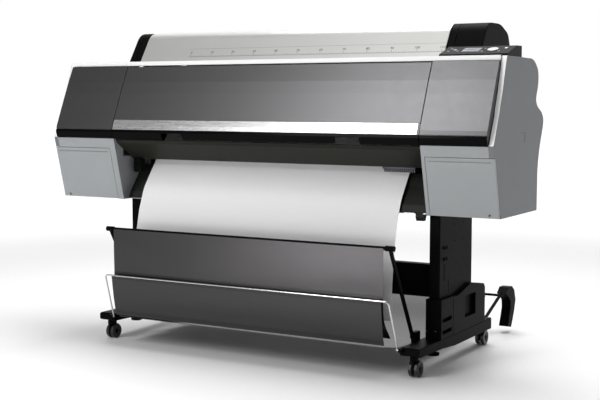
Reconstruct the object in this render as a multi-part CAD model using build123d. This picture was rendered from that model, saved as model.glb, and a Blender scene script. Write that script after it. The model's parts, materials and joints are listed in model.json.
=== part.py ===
"""Wide-format inkjet printer on a wheeled stand, with a cloth paper basket.

Two working frames are used. The printer body's parts are drawn with z = 0 at the body's floor, and the
stand's parts with z = 0 at the ground. In both, X runs to the right seen from the front, y = 0 is the
nose of the body and +Y points to the back. Everything is exported about the middle of the footprint.
"""

from build123d import *
from math import atan2, cos, degrees, hypot, radians, sin
import os

# ---- driving dimensions, in millimetres ----

body_width = 1864.0
body_floor = 550.0            # ground to the underside of the printer body
left_bay_width = 302.0
right_bay_width = 260.0
cover_depth = 18.0            # how far a side cover wraps inwards
wall = 3.0                    # moulded covers
gap = 1.5                     # shut line between neighbouring covers
run = 0.05                    # radial clearance of a pin or shaft in its hole
free = 0.4                    # clearance between a moving part and its neighbour

paper_width = 1118.0          # the 44 inch roll
paper_thickness = 0.8
media_radius = 55.0
flange_radius = 72.0
spindle_radius = 12.0

feed_radius = 15.0
pinch_radius = 8.0
pinch_length = 60.0
pinch_count = 9
rail_width = 46.0
rail_depth = 50.0
carriage_width = 170.0
carriage_inset = 172.0        # parked carriage, over the capping station, from the body's end
belt_width = 8.0
pulley_radius = 10.0
motor_radius = 26.0

door_thickness = 10.0
door_height = 200.0
door_side_margin = 28.0       # bay front left beside a door
door_pin = 2.0

trim_height = 37.0
lip_height = 36.0
grip_width = 96.0
grip_height = 24.0

leg_spacing = 1312.0          # between the centres of the two legs
leg_width = 40.0
leg_depth = 300.0
leg_front = 169.0
sheet_metal = 2.5
foot_length = 669.0
foot_front = -24.0
foot_width = 73.0
foot_top = 105.0
foot_under_front = 76.0
foot_under_rear = 63.0
beam_height = 117.0
beam_base = 245.0
beam_depth = 40.0

takeup_centre = (340.0, 470.0)
takeup_pitch = (80.0, 60.0)
takeup_hole = 3.3

wheel_radius = 28.0
wheel_width = 13.0
wheel_gap = 9.0
caster_trail = 15.0
caster_inset = 19.0           # wheel centre from the end of a foot
caster_stem = 5.5
caster_axle = 3.0
level_screw = 6.0
level_pad = 22.0

basket_top = 446.0
basket_reach = -64.0
arm_section = 14.0
arm_pivot = (120.0, 118.0)
bar_radius = 6.5
wire_radius = 3.0
hoop_pivot = (-34.0, 97.0)
hoop_top = (-92.0, 270.0)
cloth_width = 1150.0
cloth = 1.2
rear_pivot = (662.0, 92.0)

# ---- outlines of (y, z) points ----

side_front = [(61, 0), (1, 242), (45, 334), (79, 425), (110, 523), (116, 538), (237, 537), (330, 535)]
side_crown = [(330, 535), (388, 526), (424, 500)]
rear_curve = [
    (424, 500), (433, 468), (423, 425), (412, 391), (432, 367), (472, 348), (494, 321), (486, 288),
    (460, 228), (443, 170), (438, 110),
]
front_profile = [(98, 523), (67, 459), (38, 392), (9, 325), (-5, 292), (-12, 266), (-4, 240)]
bay_nose = (1.0, 241.0)
bay_toe = (61.0, 0.0)
bay_back = 430.0
bay_shelf = 170.0             # top of a bay behind its nose, under the print head's travel
bay_nose_back = 60.0
deck_height = 531.0
deck_front = 104.0
side_pocket = [
    (65, 4), (7, 241), (50, 332), (84, 423), (116, 521), (121, 533), (330, 530), (384, 521), (416, 498),
    (426, 468), (416, 427), (404, 391), (424, 361), (464, 342), (484, 318), (478, 290), (446, 214),
    (429, 150), (430, 4),
]
roll_outline = [(311, 538), (393.8, 668), (520, 668), (600, 636), (640, 545)]
roll_corners = [65, 150, 45]
roll_centre = (505.0, 572.0)
trough_outline = [(412, 531), (425, 488), (600, 488), (638, 520), (638, 535)]

# ---- places worked out from the driving dimensions ----

half_width = body_width / 2
inner_edge = half_width - cover_depth
seam_left = -half_width + left_bay_width
seam_right = half_width - right_bay_width
foot_rear = foot_front + foot_length
leg_x = leg_spacing / 2
carriage_park = half_width - carriage_inset
pulley_x = inner_edge - 42
guard_back = 953.0
front_limit = hoop_top[0] - wire_radius
footprint_middle = (front_limit + guard_back) / 2

# The paper runs straight from the feed nip down over the platen to the exit.
nip = (285.0, 292.0)
paper_exit = (165.0, 133.0)
path_length = hypot(paper_exit[0] - nip[0], paper_exit[1] - nip[1])
path_y = (paper_exit[0] - nip[0]) / path_length
path_z = (paper_exit[1] - nip[1]) / path_length


def on_path(along, above):
    """The (y, z) point a distance along the paper from the nip, and above it towards the carriage."""
    return (nip[0] + path_y * along + path_z * above, nip[1] + path_z * along - path_y * above)


# ---- shape helpers ----

def side_face(points, radius=0.0, corners=None):
    """A flat side outline, with its corners rounded where a radius is given."""
    face = Polygon(*points, align=None)
    if radius:
        chosen = face.vertices()
        if corners is not None:
            chosen = [v for v in chosen if any(hypot(v.X - y, v.Y - z) < 0.01 for y, z in corners)]
        face = fillet(chosen, radius)
    return face


def outline_face(runs):
    """A side outline made of straight runs and smooth curves, given in turn and closed by a line."""
    edges = []
    for points, smooth in runs:
        edges.append(Spline(*points) if smooth else Polyline(*points))
    if runs[-1][0][-1] != runs[0][0][0]:
        edges.append(Line(runs[-1][0][-1], runs[0][0][0]))
    return make_face(edges)


def along_x(face, x_low, x_high):
    """A side outline stretched between two places along X."""
    return extrude(Plane.YZ.offset(x_low) * face, amount=x_high - x_low, dir=(1, 0, 0))


def prism(points, x_low, x_high, radius=0.0, corners=None):
    return along_x(side_face(points, radius, corners), x_low, x_high)


def skin(points, thickness, x_low, x_high, smooth=False):
    """A sheet that follows a side profile, with its thickness to the back."""
    behind = [(y + thickness, z) for y, z in points]
    if smooth:
        front_edge, back_edge = Spline(*points), Spline(*behind)
    else:
        front_edge, back_edge = Polyline(*points), Polyline(*behind)
    ends = [Line(points[0], behind[0]), Line(points[-1], behind[-1])]
    return along_x(make_face([front_edge, back_edge] + ends), x_low, x_high)


def block(x, y, z):
    """A box between two places on each axis."""
    centre = Pos((x[0] + x[1]) / 2, (y[0] + y[1]) / 2, (z[0] + z[1]) / 2)
    return centre * Box(x[1] - x[0], y[1] - y[0], z[1] - z[0])


def rod_x(centre, radius, x_low, x_high):
    place = Pos((x_low + x_high) / 2, centre[0], centre[1])
    return place * Rot(0, 90, 0) * Cylinder(radius, x_high - x_low)


def rod_y(x, z, radius, y_low, y_high):
    return Pos(x, (y_low + y_high) / 2, z) * Rot(90, 0, 0) * Cylinder(radius, y_high - y_low)


def rod_z(x, y, radius, z_low, z_high):
    return Pos(x, y, (z_low + z_high) / 2) * Cylinder(radius, z_high - z_low)


def bar_between(x_low, x_high, start, end, thickness):
    """A flat bar of rectangular section between two (y, z) points."""
    length = hypot(end[0] - start[0], end[1] - start[1])
    angle = degrees(atan2(end[1] - start[1], end[0] - start[0]))
    middle = Pos((x_low + x_high) / 2, (start[0] + end[0]) / 2, (start[1] + end[1]) / 2)
    return middle * Rot(angle, 0, 0) * Box(x_high - x_low, length, thickness)


def profile_between(profile, z_top, z_low):
    """The part of a falling profile between two heights, its ends found on the straight runs."""

    def at(height):
        for (y0, z0), (y1, z1) in zip(profile, profile[1:]):
            if z0 >= height >= z1:
                return (y0 + (y1 - y0) * (z0 - height) / (z0 - z1), height)
        return profile[-1]

    return [at(z_top)] + [p for p in profile if z_low < p[1] < z_top] + [at(z_low)]


def mirrored(solid):
    return mirror(solid, Plane.YZ)


def group(solids):
    """Separate solids of one kind, kept apart in one node."""
    return Compound(children=[s for item in solids for s in item.solids()])


# ---- printer body: casings ----

def door_line():
    """The door's outer face, which follows the slope of the bay's front."""
    slope = (bay_toe[0] - bay_nose[0]) / (bay_nose[1] - bay_toe[1])
    low, high = gap, gap + door_height
    return [(bay_toe[0] - slope * high, high), (bay_toe[0] - slope * low, low)]


def door_pocket(x_low, x_high):
    """The room that a door fills in the bay's front and in the side cover."""
    top, bottom = door_line()
    points = [
        (top[0] - 20, top[1] + gap), (top[0] + door_thickness + gap, top[1] + gap),
        (bottom[0] + door_thickness + gap - 3, 16), (bottom[0] + door_thickness + 4, 13),
        (bottom[0] + door_thickness + 4, -1), (bottom[0] - 20, -1),
    ]
    return prism(points, x_low, x_high)


def side_cover(side):
    """A moulded end cover: one outer wall with a rim that turns in towards the machine."""
    back = [rear_curve[-1], (437, 0)]
    face = outline_face([(side_front, False), (side_crown, True), (rear_curve, True), (back, False)])
    soft = [v for v in face.vertices() if 105 < v.X < 120 or abs(v.X - 1) < 1]
    face = fillet(soft, 5)
    outer = along_x(face, 0, cover_depth)
    outer -= prism(side_pocket, -1, cover_depth - wall)
    foot = (255.0, 281.0)
    outer -= block((cover_depth - 0.8, cover_depth + 1), (foot[0], foot[0] + 46), (248, 281))
    cover = Pos(inner_edge, 0, 0) * outer
    cover -= door_pocket(inner_edge - 1, half_width + 1)
    return cover if side > 0 else mirrored(cover)


def door_span(side):
    if side > 0:
        return seam_right + door_side_margin / 2, half_width
    return -half_width, seam_left - door_side_margin


def bay_span(side):
    return (seam_right, inner_edge - free) if side > 0 else (-inner_edge + free, seam_left)


def hinge_lug_x(side):
    """Where the outer hinge lug of a door stands."""
    return side * (inner_edge - 14)


def ink_bay(side):
    """The light housing of the cartridges, open at the front behind its door."""
    x_low, x_high = bay_span(side)
    outline = [
        bay_nose, bay_toe, (bay_back, 0), (bay_back, bay_shelf), (bay_nose_back, bay_shelf),
        (bay_nose_back, bay_nose[1]),
    ]
    bay = prism(outline, x_low, x_high)
    inner = [
        (bay_nose[0] + 2 * wall, bay_nose[1] - wall), (bay_toe[0] + wall, wall),
        (bay_back - wall, wall), (bay_back - wall, bay_shelf - wall),
        (bay_nose_back - wall, bay_shelf - wall), (bay_nose_back - wall, bay_nose[1] - wall),
    ]
    bay -= prism(inner, x_low + wall, x_high - wall)
    door_low, door_high = door_span(side)
    bay -= door_pocket(door_low - gap, door_high + gap)
    pin_y, pin_z = door_hinge()
    lug_x = hinge_lug_x(side)
    lug = prism(
        [(pin_y - 3, 1), (pin_y + 18, 1), (pin_y + 18, wall), (pin_y + 5, pin_z + 4), (pin_y - 3, pin_z + 4)],
        lug_x - 3, lug_x + 3,
    )
    bay += lug
    bay -= rod_x((pin_y, pin_z), door_pin + run, lug_x - 4, lug_x + 4)
    inner_end = door_low if side > 0 else door_high
    bay -= rod_x((pin_y, pin_z), door_pin + run, inner_end - 9, inner_end + 9)
    return bay


def door_hinge():
    bottom = door_line()[1]
    return bottom[0] + door_thickness / 2, bottom[1] + 4.5


def ink_door(side):
    """A bay door with a finger dish at its top, hinged on two pins along its bottom."""
    x_low, x_high = door_span(side)
    door = skin(door_line(), door_thickness, x_low, x_high)
    top, bottom = door_line()
    inner = [(top[0] + wall, top[1] - 12), (bottom[0] + wall - 3, bottom[1] + 14)]
    door -= skin(inner, door_thickness, x_low + 12, x_high - 12)
    pin = door_hinge()
    lug_x = hinge_lug_x(side)
    door -= block((lug_x - 4, lug_x + 4), (pin[0] - 12, pin[0] + 14), (0, pin[1] + 8))
    door += rod_x(pin, door_pin, lug_x - 4, lug_x + 4)
    inner_end = x_low if side > 0 else x_high
    door += rod_x(pin, door_pin, inner_end - 7, inner_end + 7)
    return door


def end_panel(x_low, x_high):
    """The dark panel over an end of the carriage's travel, with a return at its outer side."""
    upper = profile_between(front_profile, 523, 277)
    panel = skin(upper, wall, x_low, x_high)
    backing = [(y + wall, z) for y, z in profile_between(front_profile, 290, 244)]
    panel += skin(backing, wall, x_low, x_high)
    ends = [(x_low, x_low + wall), (x_high - wall, x_high)]
    sides = profile_between(front_profile, 523, 244)
    rib = [(y + wall, z) for y, z in sides] + [(30, 244), (114, 523)]
    for low, high in ends:
        panel += prism(rib, low, high)
    pin = cover_hinge
    panel -= rod_x(pin, cover_pin + run, x_low - 1, x_high + 1)
    return panel


cover_hinge = (106.0, 517.0)
cover_pin = 3.0


def end_panels():
    left = end_panel(-inner_edge + gap, seam_left - gap)
    right = end_panel(seam_right + gap, inner_edge - gap)
    return group([left, right])


def end_bands():
    """The black bands that carry the front cover's lip on across both ends."""
    line = profile_between(front_profile, 275, 244)
    left = skin(line, wall - 0.1, -inner_edge + gap, seam_left - gap)
    right = skin(line, wall - 0.1, seam_right + gap, inner_edge - gap)
    return group([left, right])


def front_cover():
    """The tilting cover over the carriage: a dark skin on an inner carrier, hung on two pins."""
    x_low, x_high = seam_left + gap, seam_right - gap
    upper = profile_between(front_profile, 519, 315)
    cover = skin(upper, wall, x_low, x_high)
    carrier = [(y + wall, z) for y, z in profile_between(front_profile, 330, 240)]
    cover += skin(carrier, wall, x_low, x_high)
    rib_line = [(y + wall, z) for y, z in profile_between(front_profile, 519, 240)]
    for low in (x_low, (x_low + x_high) / 2 - 2, x_high - 4):
        tail = [(y + 14, z) for y, z in reversed(rib_line[1:])]
        cover += prism(rib_line + tail, low, low + 4)
    for end, out in ((x_low, -1), (x_high, 1)):
        low, high = sorted((end, end - out * 4))
        cover += prism([(96, 519), (110, 519), (110, 512), (90, 505)], low, high)
        low, high = sorted((end - out * 4, end + out * 5))
        cover += rod_x(cover_hinge, cover_pin, low, high)
    for start in grip_starts():
        cover -= block((start, start + grip_width), (-30, 30), (230, 240 + grip_height))
    return cover


def grip_starts():
    return (seam_left + 234, seam_right - 319)


def front_trim():
    """The bright strip across the front cover."""
    line = profile_between(front_profile, 314, 314 - trim_height)
    return skin(line, wall - 0.1, seam_left + gap + 1, seam_right - gap - 6)


def front_lip():
    """The black lower lip of the front cover, cut away under two finger grips."""
    line = profile_between(front_profile, 276, 276 - lip_height)
    lip = skin(line, wall - 0.1, seam_left + gap, seam_right - gap)
    for start in grip_starts():
        lip -= block((start, start + grip_width), (-30, 30), (230, 240 + grip_height))
    return lip


def top_deck():
    """The deck behind the front cover, and the trough that the media roll hangs over."""
    edge = inner_edge - gap
    deck = block((-edge, edge), (deck_front, roll_outline[0][0] + 70), (deck_height, deck_height + wall))
    deck += block((-edge, edge), (deck_front, deck_front + 6), (deck_height - 7, deck_height + 9))
    slot_half = paper_width / 2 + 12
    deck -= block((-slot_half, slot_half), (345, 500), (500, 560))
    left_house, right_house = housing_spans()
    tub_line = trace(Polyline(*trough_outline), line_width=wall)
    tub = along_x(tub_line, left_house[1] + gap, right_house[0] - gap)
    curve = trace(Polyline((380, 532.5), (395, 521), (414, 505), (420, 499)), line_width=wall)
    for low, high in ((-edge, left_house[0] - gap), (right_house[1] + gap, edge)):
        deck += along_x(curve, low, high)
    return group([deck, tub])


def housing_spans():
    """The X spans of the fixed housings at the ends of the media roll."""
    return (seam_left - 167, seam_left - 140), (seam_right - 22, seam_right + 85)


def roll_cover_span():
    left, right = housing_spans()
    return left[1] + 2, right[0] - 2


def roll_face(under=()):
    """The roll cover's section: its rounded outside, closed by a line or by the points underneath."""
    top = FilletPolyline(*roll_outline, radius=roll_corners)
    return make_face([top, Polyline(roll_outline[-1], *under, roll_outline[0])])


def roll_shell(x_low, x_high, outside=0.0):
    """A length of the roll cover's section, open underneath."""
    outer = offset(roll_face(), outside, kind=Kind.INTERSECTION) if outside else roll_face()
    inner = offset(roll_face(), -wall, kind=Kind.INTERSECTION)
    shell = along_x(outer, x_low, x_high) - along_x(inner, x_low - 1, x_high + 1)
    (front, low), (back, rear_low) = roll_outline[0], roll_outline[-1]
    return shell - block((x_low - 1, x_high + 1), (front + 9, back - 6), (low - 8, rear_low + 2 * wall))


def roll_cover():
    """The silver cover over the media roll, with its two hinge arms at the back."""
    x_low, x_high = roll_cover_span()
    shell = roll_shell(x_low + cap_width, x_high - cap_width)
    return shell


cap_width = 30.0
roll_hinge = (628.0, 556.0)
roll_hinge_pin = 3.0


def roll_cover_caps():
    """The dark end caps of the roll cover, which carry its hinge pins."""
    x_low, x_high = roll_cover_span()
    caps = []
    for low, out in ((x_low, -1), (x_high - cap_width + gap, 1)):
        high = low + cap_width - gap
        cap = roll_shell(low, high)
        end = low if out < 0 else high
        cheek_low, cheek_high = sorted((end, end - out * 5))
        cheek = prism([(606, 575), (628, 550), (634, 552), (634, 560), (616, 588)], cheek_low, cheek_high)
        pin_low, pin_high = sorted((end - out * 5, end + out * 7))
        caps.append(cap + cheek + rod_x(roll_hinge, roll_hinge_pin, pin_low, pin_high))
    return group(caps)


def roll_end_housings():
    """The fixed housings at both ends of the roll, with the spindle's bearing holes."""
    face = roll_face(under=[(640, 520), (600, 486), (422, 486), (410, 535), (311, 535)])
    inner = offset(face, -wall, kind=Kind.INTERSECTION)
    houses = []
    for low, high in housing_spans():
        house = along_x(face, low, high)
        outer_end = high if low > 0 else low
        rim = [e for e in house.edges() if abs(e.center().X - outer_end) < 0.1 and e.center().Z > 540]
        house = fillet(rim, 2.5)
        if low > 0:
            house -= along_x(inner, low + 5, high - wall)
        else:
            house -= along_x(inner, low + wall, high - 5)
        hinge_low, hinge_high = (low - 1, low + 6) if low > 0 else (high - 6, high + 1)
        house -= rod_x(roll_centre, spindle_radius + run, hinge_low, hinge_high)
        house -= rod_x(roll_hinge, roll_hinge_pin + run, hinge_low, hinge_high)
        houses.append(house)
    return group(houses)


def rear_cover():
    """The back of the body, from the trough down to the floor, with an opening for the inlet."""
    curve = Spline(*rear_curve)
    start = curve @ 0.05
    line = [(start.X, start.Y)] + [p for p in rear_curve[1:]]
    inner = [(y - wall, z) for y, z in line]
    foot = [line[-1], (line[-1][0], 6), (inner[-1][0], 6), inner[-1]]
    edges = [Spline(*line), Spline(*inner), Line(line[0], inner[0]), Polyline(*foot)]
    cover = along_x(make_face(edges), -inner_edge + gap, inner_edge - gap)
    return cover - inlet_opening()


def base_pan():
    """The sheet-metal floor of the body between the two ink bays."""
    x_low, x_high = seam_left + gap, seam_right - gap
    pan = block((x_low, x_high), (100, 434), (0, wall))
    pan += block((x_low, x_high), (431, 434), (0, 146))
    for start in (-480, -240, 0, 240, 480):
        pan -= block((start, start + 120), (260, 300), (-1, 1.2))
    pan -= block((hook_x[0] - gap, hook_x[1] + gap), (99, 145), (-1, wall + 1))
    return pan - inlet_opening()


def paper_ceiling():
    """The guide above the paper exit, and the wall of the slot behind the lip."""
    line = [(15, 235), (20, 223), (122, 158), (150, 172)]
    back = [(y + 1, z + wall) for y, z in reversed(line)]
    return prism(line + back, seam_left + gap, seam_right - gap)


def lower_apron():
    """The plate under the paper exit that hands the paper to the basket."""
    line = [(176, 132), (150, 90), (104, 30), (92, 6)]
    apron = skin(line, wall, seam_left + gap, seam_right - gap)
    apron -= block((-520, 560), (60, 108.5), (29, 32))
    hook = prism([(106, 33), (103, -12), (110, -25), (126, -25), (138, -1), (138, 24)], *hook_x)
    return apron + hook


hook_x = (seam_right - 60, seam_right - 32)


# ---- printer body: control panel ----

panel_slope = atan2(29.0, 90.0)
panel_face = Plane(origin=(0, 172, 548), x_dir=(1, 0, 0), z_dir=(0, -sin(panel_slope), cos(panel_slope)))
display_box = ((seam_right + 61, seam_right + 124), (28.0, 74.0))
nav_centre = (seam_right + 170, 50.0)
menu_centre = (seam_right + 32, 50.0)
power_centre = (seam_right + 214, 62.0)
nav_size = 19.0
button_radius = 6.0


def on_panel(u, v, w, shape):
    return panel_face * Pos(u, v, w) * shape


def control_panel():
    """The raised panel housing, with openings for the display and the buttons."""
    outline = [(166, 536), (172, 548), (262, 577), (311, 577), (311, 536)]
    x_low, x_high = seam_right - 8, inner_edge - 2
    house = prism(outline, x_low, x_high, 2.5, outline[1:4])
    inner = [(166 + wall, 536), (174, 545), (262, 573), (308, 573), (308, 536)]
    house -= prism(inner, x_low + wall, x_high - wall)
    (u0, u1), (v0, v1) = display_box
    house -= on_panel((u0 + u1) / 2, (v0 + v1) / 2, 0, Box(u1 - u0 + 0.4, v1 - v0 + 0.4, 12))
    house -= on_panel(*nav_centre, 0, Cylinder(nav_size + free, 14))
    for centre in (menu_centre, power_centre):
        house -= on_panel(*centre, 0, Cylinder(button_radius + free, 14))
    return house


def display():
    (u0, u1), (v0, v1) = display_box
    glass = on_panel((u0 + u1) / 2, (v0 + v1) / 2, -1.6, Box(u1 - u0, v1 - v0, 3.0))
    return glass


def button(centre, radius, height):
    """A button cap that stands out of the panel, on a wider base that keeps it in."""
    cap = on_panel(*centre, (height - 5) / 2, Cylinder(radius, height + 5))
    base = on_panel(*centre, -5.5, Cylinder(radius + 1.5, 1.6))
    return cap + base


def nav_pad():
    """The round navigation pad, with a ring groove about its middle key."""
    pad = button(nav_centre, nav_size, 1.8)
    ring = Cylinder(8.5, 1.2) - Cylinder(7.5, 1.2)
    return pad - on_panel(*nav_centre, 1.6, ring)


# ---- printer body: paper path and print mechanism ----

def sub_plate_x():
    return paper_width / 2 + 45


def end_plate_x():
    return inner_edge - 24


def inner_frame():
    """Two end plates that carry the guide rail, and two smaller plates for the platen and rollers."""
    plates = []
    tall = [(64, bay_shelf), (150, 500), (370, 500), (400, 380), (400, bay_shelf)]
    low = [
        on_path(-24, 22), on_path(17, 22), on_path(17, -1.5), on_path(140, -1.5),
        (190, 60), (190, wall), (400, wall), (400, 243),
    ]
    rail = rail_outline(free / 4)
    for side in (-1, 1):
        x = side * end_plate_x()
        plate = prism(tall, x - 3, x + 3, 20, tall[1:4])
        plate -= prism(rail, x - 4, x + 4)
        plates.append(plate)
        x = side * sub_plate_x()
        plate = prism(low, x - 4, x + 4)
        plate -= rod_x(feed_centre(), 8 + run, x - 5, x + 5)
        plate -= rod_x(pinch_centre(), 4 + run, x - 5, x + 5)
        plate -= prism(platen_outline(free / 4), x - 5, x + 5)
        plates.append(plate)
    return group(plates)


def feed_centre():
    return on_path(0, -(feed_radius + paper_thickness / 2 + free))


def pinch_centre():
    return on_path(0, pinch_radius + paper_thickness / 2 + free)


def rail_outline(grow=0.0):
    low, high = 26 - rail_width - grow, 26 + grow
    near, far = 45 - grow, 45 + rail_depth + grow
    return [on_path(low, near), on_path(high, near), on_path(high, far), on_path(low, far)]


def guide_rail():
    """A hollow aluminium beam, square to the paper."""
    reach = end_plate_x() + 3
    beam = prism(rail_outline(), -reach, reach)
    return beam - prism(rail_outline(-5), -reach - 1, reach + 1)


def platen_outline(grow=0.0):
    top = -(paper_thickness / 2 + free)
    low, high = 26 - grow, 118 + grow
    return [
        on_path(low, top + grow), on_path(high, top + grow),
        on_path(high, top - 18 - grow), on_path(low, top - 18 - grow),
    ]


def platen():
    """The ribbed bed under the print head."""
    reach = sub_plate_x() + 4
    bed = prism(platen_outline(), -reach, reach)
    top = -(paper_thickness / 2 + free)
    for along in (45, 60, 75, 90):
        line = [
            on_path(along, top + 1), on_path(along + 5, top + 1),
            on_path(along + 5, top - 3), on_path(along, top - 3),
        ]
        bed -= prism(line, -paper_width / 2, paper_width / 2)
    return bed


def feed_roller():
    """The driven roller behind the paper, on a shaft that runs in the inner plates."""
    centre = feed_centre()
    length = sub_plate_x() - 6
    roller = rod_x(centre, feed_radius, -length, length)
    roller += rod_x(centre, 8, -length - 16, length + 16)
    wheel = rod_x(centre, feed_radius + 7, length + 14, length + 22)
    return roller + wheel


def pinch_rollers():
    """Pressure rollers on one shaft, above the paper."""
    centre = pinch_centre()
    reach = sub_plate_x() + 3
    shaft = rod_x(centre, 4, -reach, reach)
    pitch = paper_width / pinch_count
    for index in range(pinch_count):
        middle = (index - (pinch_count - 1) / 2) * pitch
        shaft += rod_x(centre, pinch_radius, middle - pinch_length / 2, middle + pinch_length / 2)
    return shaft


def carriage():
    """The carriage, hooked around the guide rail, with a clamp for the belt."""
    slide = free
    low, high = 26 - rail_width - slide, 26 + slide
    far = 45 + rail_depth + slide
    outline = [
        on_path(118, 34), on_path(118, 112), on_path(low - 11, 112), on_path(low - 11, 62),
        on_path(low, 62), on_path(low, far), on_path(high, far), on_path(high, 34),
    ]
    x_low, x_high = carriage_park - carriage_width / 2, carriage_park + carriage_width / 2
    body = prism(outline, x_low, x_high, 4, outline[1:3])
    for middle in (x_low + 30, x_high - 30):
        body -= block((middle - 18, middle + 18), (90, 160), (270, 300))
    clamp_base = on_path(low - 8, 84)
    clamp_x = (carriage_park - 12, carriage_park + 12)
    clamp = block(clamp_x, (belt_y - 9, belt_y + 9), (clamp_base[1] + 2, belt_low + 6))
    clamp -= block(
        (carriage_park - 13, carriage_park + 13), (belt_y - belt_width / 2 - free, belt_y + 20),
        (belt_low - 1 - free, belt_low + 1 + free),
    )
    return body + clamp


def print_head():
    """The head block under the carriage, with its nozzle plate a little above the paper."""
    outline = [on_path(45, 5), on_path(100, 5), on_path(100, 33.9), on_path(45, 33.9)]
    head = prism(outline, carriage_park - 60, carriage_park + 60)
    plate = [on_path(52, 3.6), on_path(93, 3.6), on_path(93, 5), on_path(52, 5)]
    return head + prism(plate, carriage_park - 50, carriage_park + 50)


belt_y = 236.0
belt_low = 396.0
pulley_centre_z = belt_low + 1 + pulley_radius


def drive_belt():
    """A toothed belt's loop, from end to end of the carriage's travel."""
    outer = SlotCenterToCenter(2 * pulley_x, 2 * (pulley_radius + 2))
    inner = SlotCenterToCenter(2 * pulley_x, 2 * (pulley_radius + free / 2))
    face = Plane.XZ * (outer - inner)
    loop = extrude(face, amount=belt_width / 2, both=True)
    return Pos(0, belt_y, pulley_centre_z) * loop


def belt_pulley(x):
    wheel = rod_y(x, pulley_centre_z, pulley_radius, belt_y - 6, belt_y + 6)
    wheel += rod_y(x, pulley_centre_z, 3, belt_y - 6, belt_y + 22)
    return wheel


def carriage_motor():
    """The carriage's motor on its bracket, and the idler's bearing post at the other end."""
    x = pulley_x
    can = rod_y(x, pulley_centre_z, motor_radius, belt_y + 14, belt_y + 80)
    can -= rod_y(x, pulley_centre_z, 3 + run, belt_y + 10, belt_y + 24)
    post = block((-x - 14, -x + 14), (belt_y + 14, belt_y + 30), (pulley_centre_z - 30, pulley_centre_z + 16))
    post -= rod_y(-x, pulley_centre_z, 3 + run, belt_y + 10, belt_y + 24)
    can -= block((end_plate_x() - 3.2, end_plate_x() + 3.2), (belt_y, belt_y + 90), (300, 500))
    post -= block((-end_plate_x() - 3.2, -end_plate_x() + 3.2), (belt_y, belt_y + 90), (300, 500))
    return group([max(can.solids(), key=lambda s: s.volume), max(post.solids(), key=lambda s: s.volume)])


def capping_station():
    """The station that seals and wipes the head while the carriage is parked."""
    outline = [on_path(38, 1.5), on_path(112, 1.5), on_path(112, -40), on_path(38, -40)]
    x_low, x_high = carriage_park - 66, carriage_park + 66
    station = prism(outline, x_low, x_high)
    for middle in (carriage_park - 30, carriage_park + 30):
        cup = [on_path(50, 3), on_path(96, 3), on_path(96, -8), on_path(50, -8)]
        station -= prism(cup, middle - 24, middle + 24)
    return station


def ink_cartridges():
    """Flat cartridges standing side by side in both bays."""
    cartridges = []
    for side, count in ((-1, 6), (1, 5)):
        x_low, x_high = bay_span(side)
        room = x_high - x_low - 2 * wall - 10
        pitch = room / count
        for index in range(count):
            left = x_low + wall + 5 + pitch * index + 2
            body = block((left, left + pitch - 4), (86, 344), (wall, 150))
            grip = block((left + 6, left + pitch - 10), (80, 86), (70, 120))
            cartridges.append(body + grip)
    return group(cartridges)


inlet_x = (leg_x - 136, leg_x - 88)
inlet_z = (61.0, 89.0)


def inlet_opening():
    """The hole for the mains inlet through the pan's upstand and the rear cover."""
    return block((inlet_x[0] - free, inlet_x[1] + free), (429, 450), (inlet_z[0] - free, inlet_z[1] + free))


def power_board():
    """The power supply board on the base pan, with the mains inlet at the back."""
    board = block((330, 590), (320, 425), (14, 16))
    posts = [rod_z(x, y, 4, wall, 14) for x in (340, 580) for y in (330, 415)]
    parts = [block((360, 420), (340, 400), (16, 50)), block((450, 480), (335, 410), (16, 44))]
    inlet = block(inlet_x, (410, 430), (16, inlet_z[1])) + block(inlet_x, (430, 444), inlet_z)
    socket = block((inlet_x[0] + 7, inlet_x[1] - 7), (434, 445), (inlet_z[0] + 5, inlet_z[1] - 5))
    whole = board + inlet - socket
    for item in posts + parts:
        whole += item
    return whole


# ---- media ----

def media_roll():
    """The wound paper roll on its core."""
    half = paper_width / 2
    roll = rod_x(roll_centre, media_radius, -half, half)
    return roll - rod_x(roll_centre, 26, -half - 1, half + 1)


def media_flanges():
    """The spindle and its two flanges, which clamp the roll's core."""
    half = paper_width / 2
    left, right = housing_spans()
    spindle = rod_x(roll_centre, spindle_radius, left[1] - 4, right[0] + 4)
    for side in (-1, 1):
        low, high = sorted((side * (half + 0.3), side * (half + 12)))
        spindle += rod_x(roll_centre, flange_radius, low, high)
        low, high = sorted((side * (half - 40), side * (half + 1)))
        spindle += rod_x(roll_centre, 25.8, low, high)
    return spindle


def paper_sheet():
    """The sheet that comes off the roll, passes the platen and hangs down into the basket."""
    start = (roll_centre[0] - (media_radius + 2.0) * cos(radians(25)),
             roll_centre[1] + (media_radius + 2.0) * sin(radians(25)))
    route = [
        start, (400, 540), (345, 420), on_path(-30, 0), paper_exit, (98, 44), (66, -40), (48, -120),
        (36, -205), (27, -290), (34, -370),
    ]
    radii = [90, 120, 90, 200, 150, 200, 220, 300, 150]
    centre_line = FilletPolyline(*route, radius=radii)
    trace_face = trace_sheet(centre_line)
    return along_x(trace_face, -paper_width / 2, paper_width / 2)


def trace_sheet(line):
    """A side outline of constant thickness about a line."""
    return trace(line, line_width=paper_thickness)


# ---- stand ----

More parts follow.
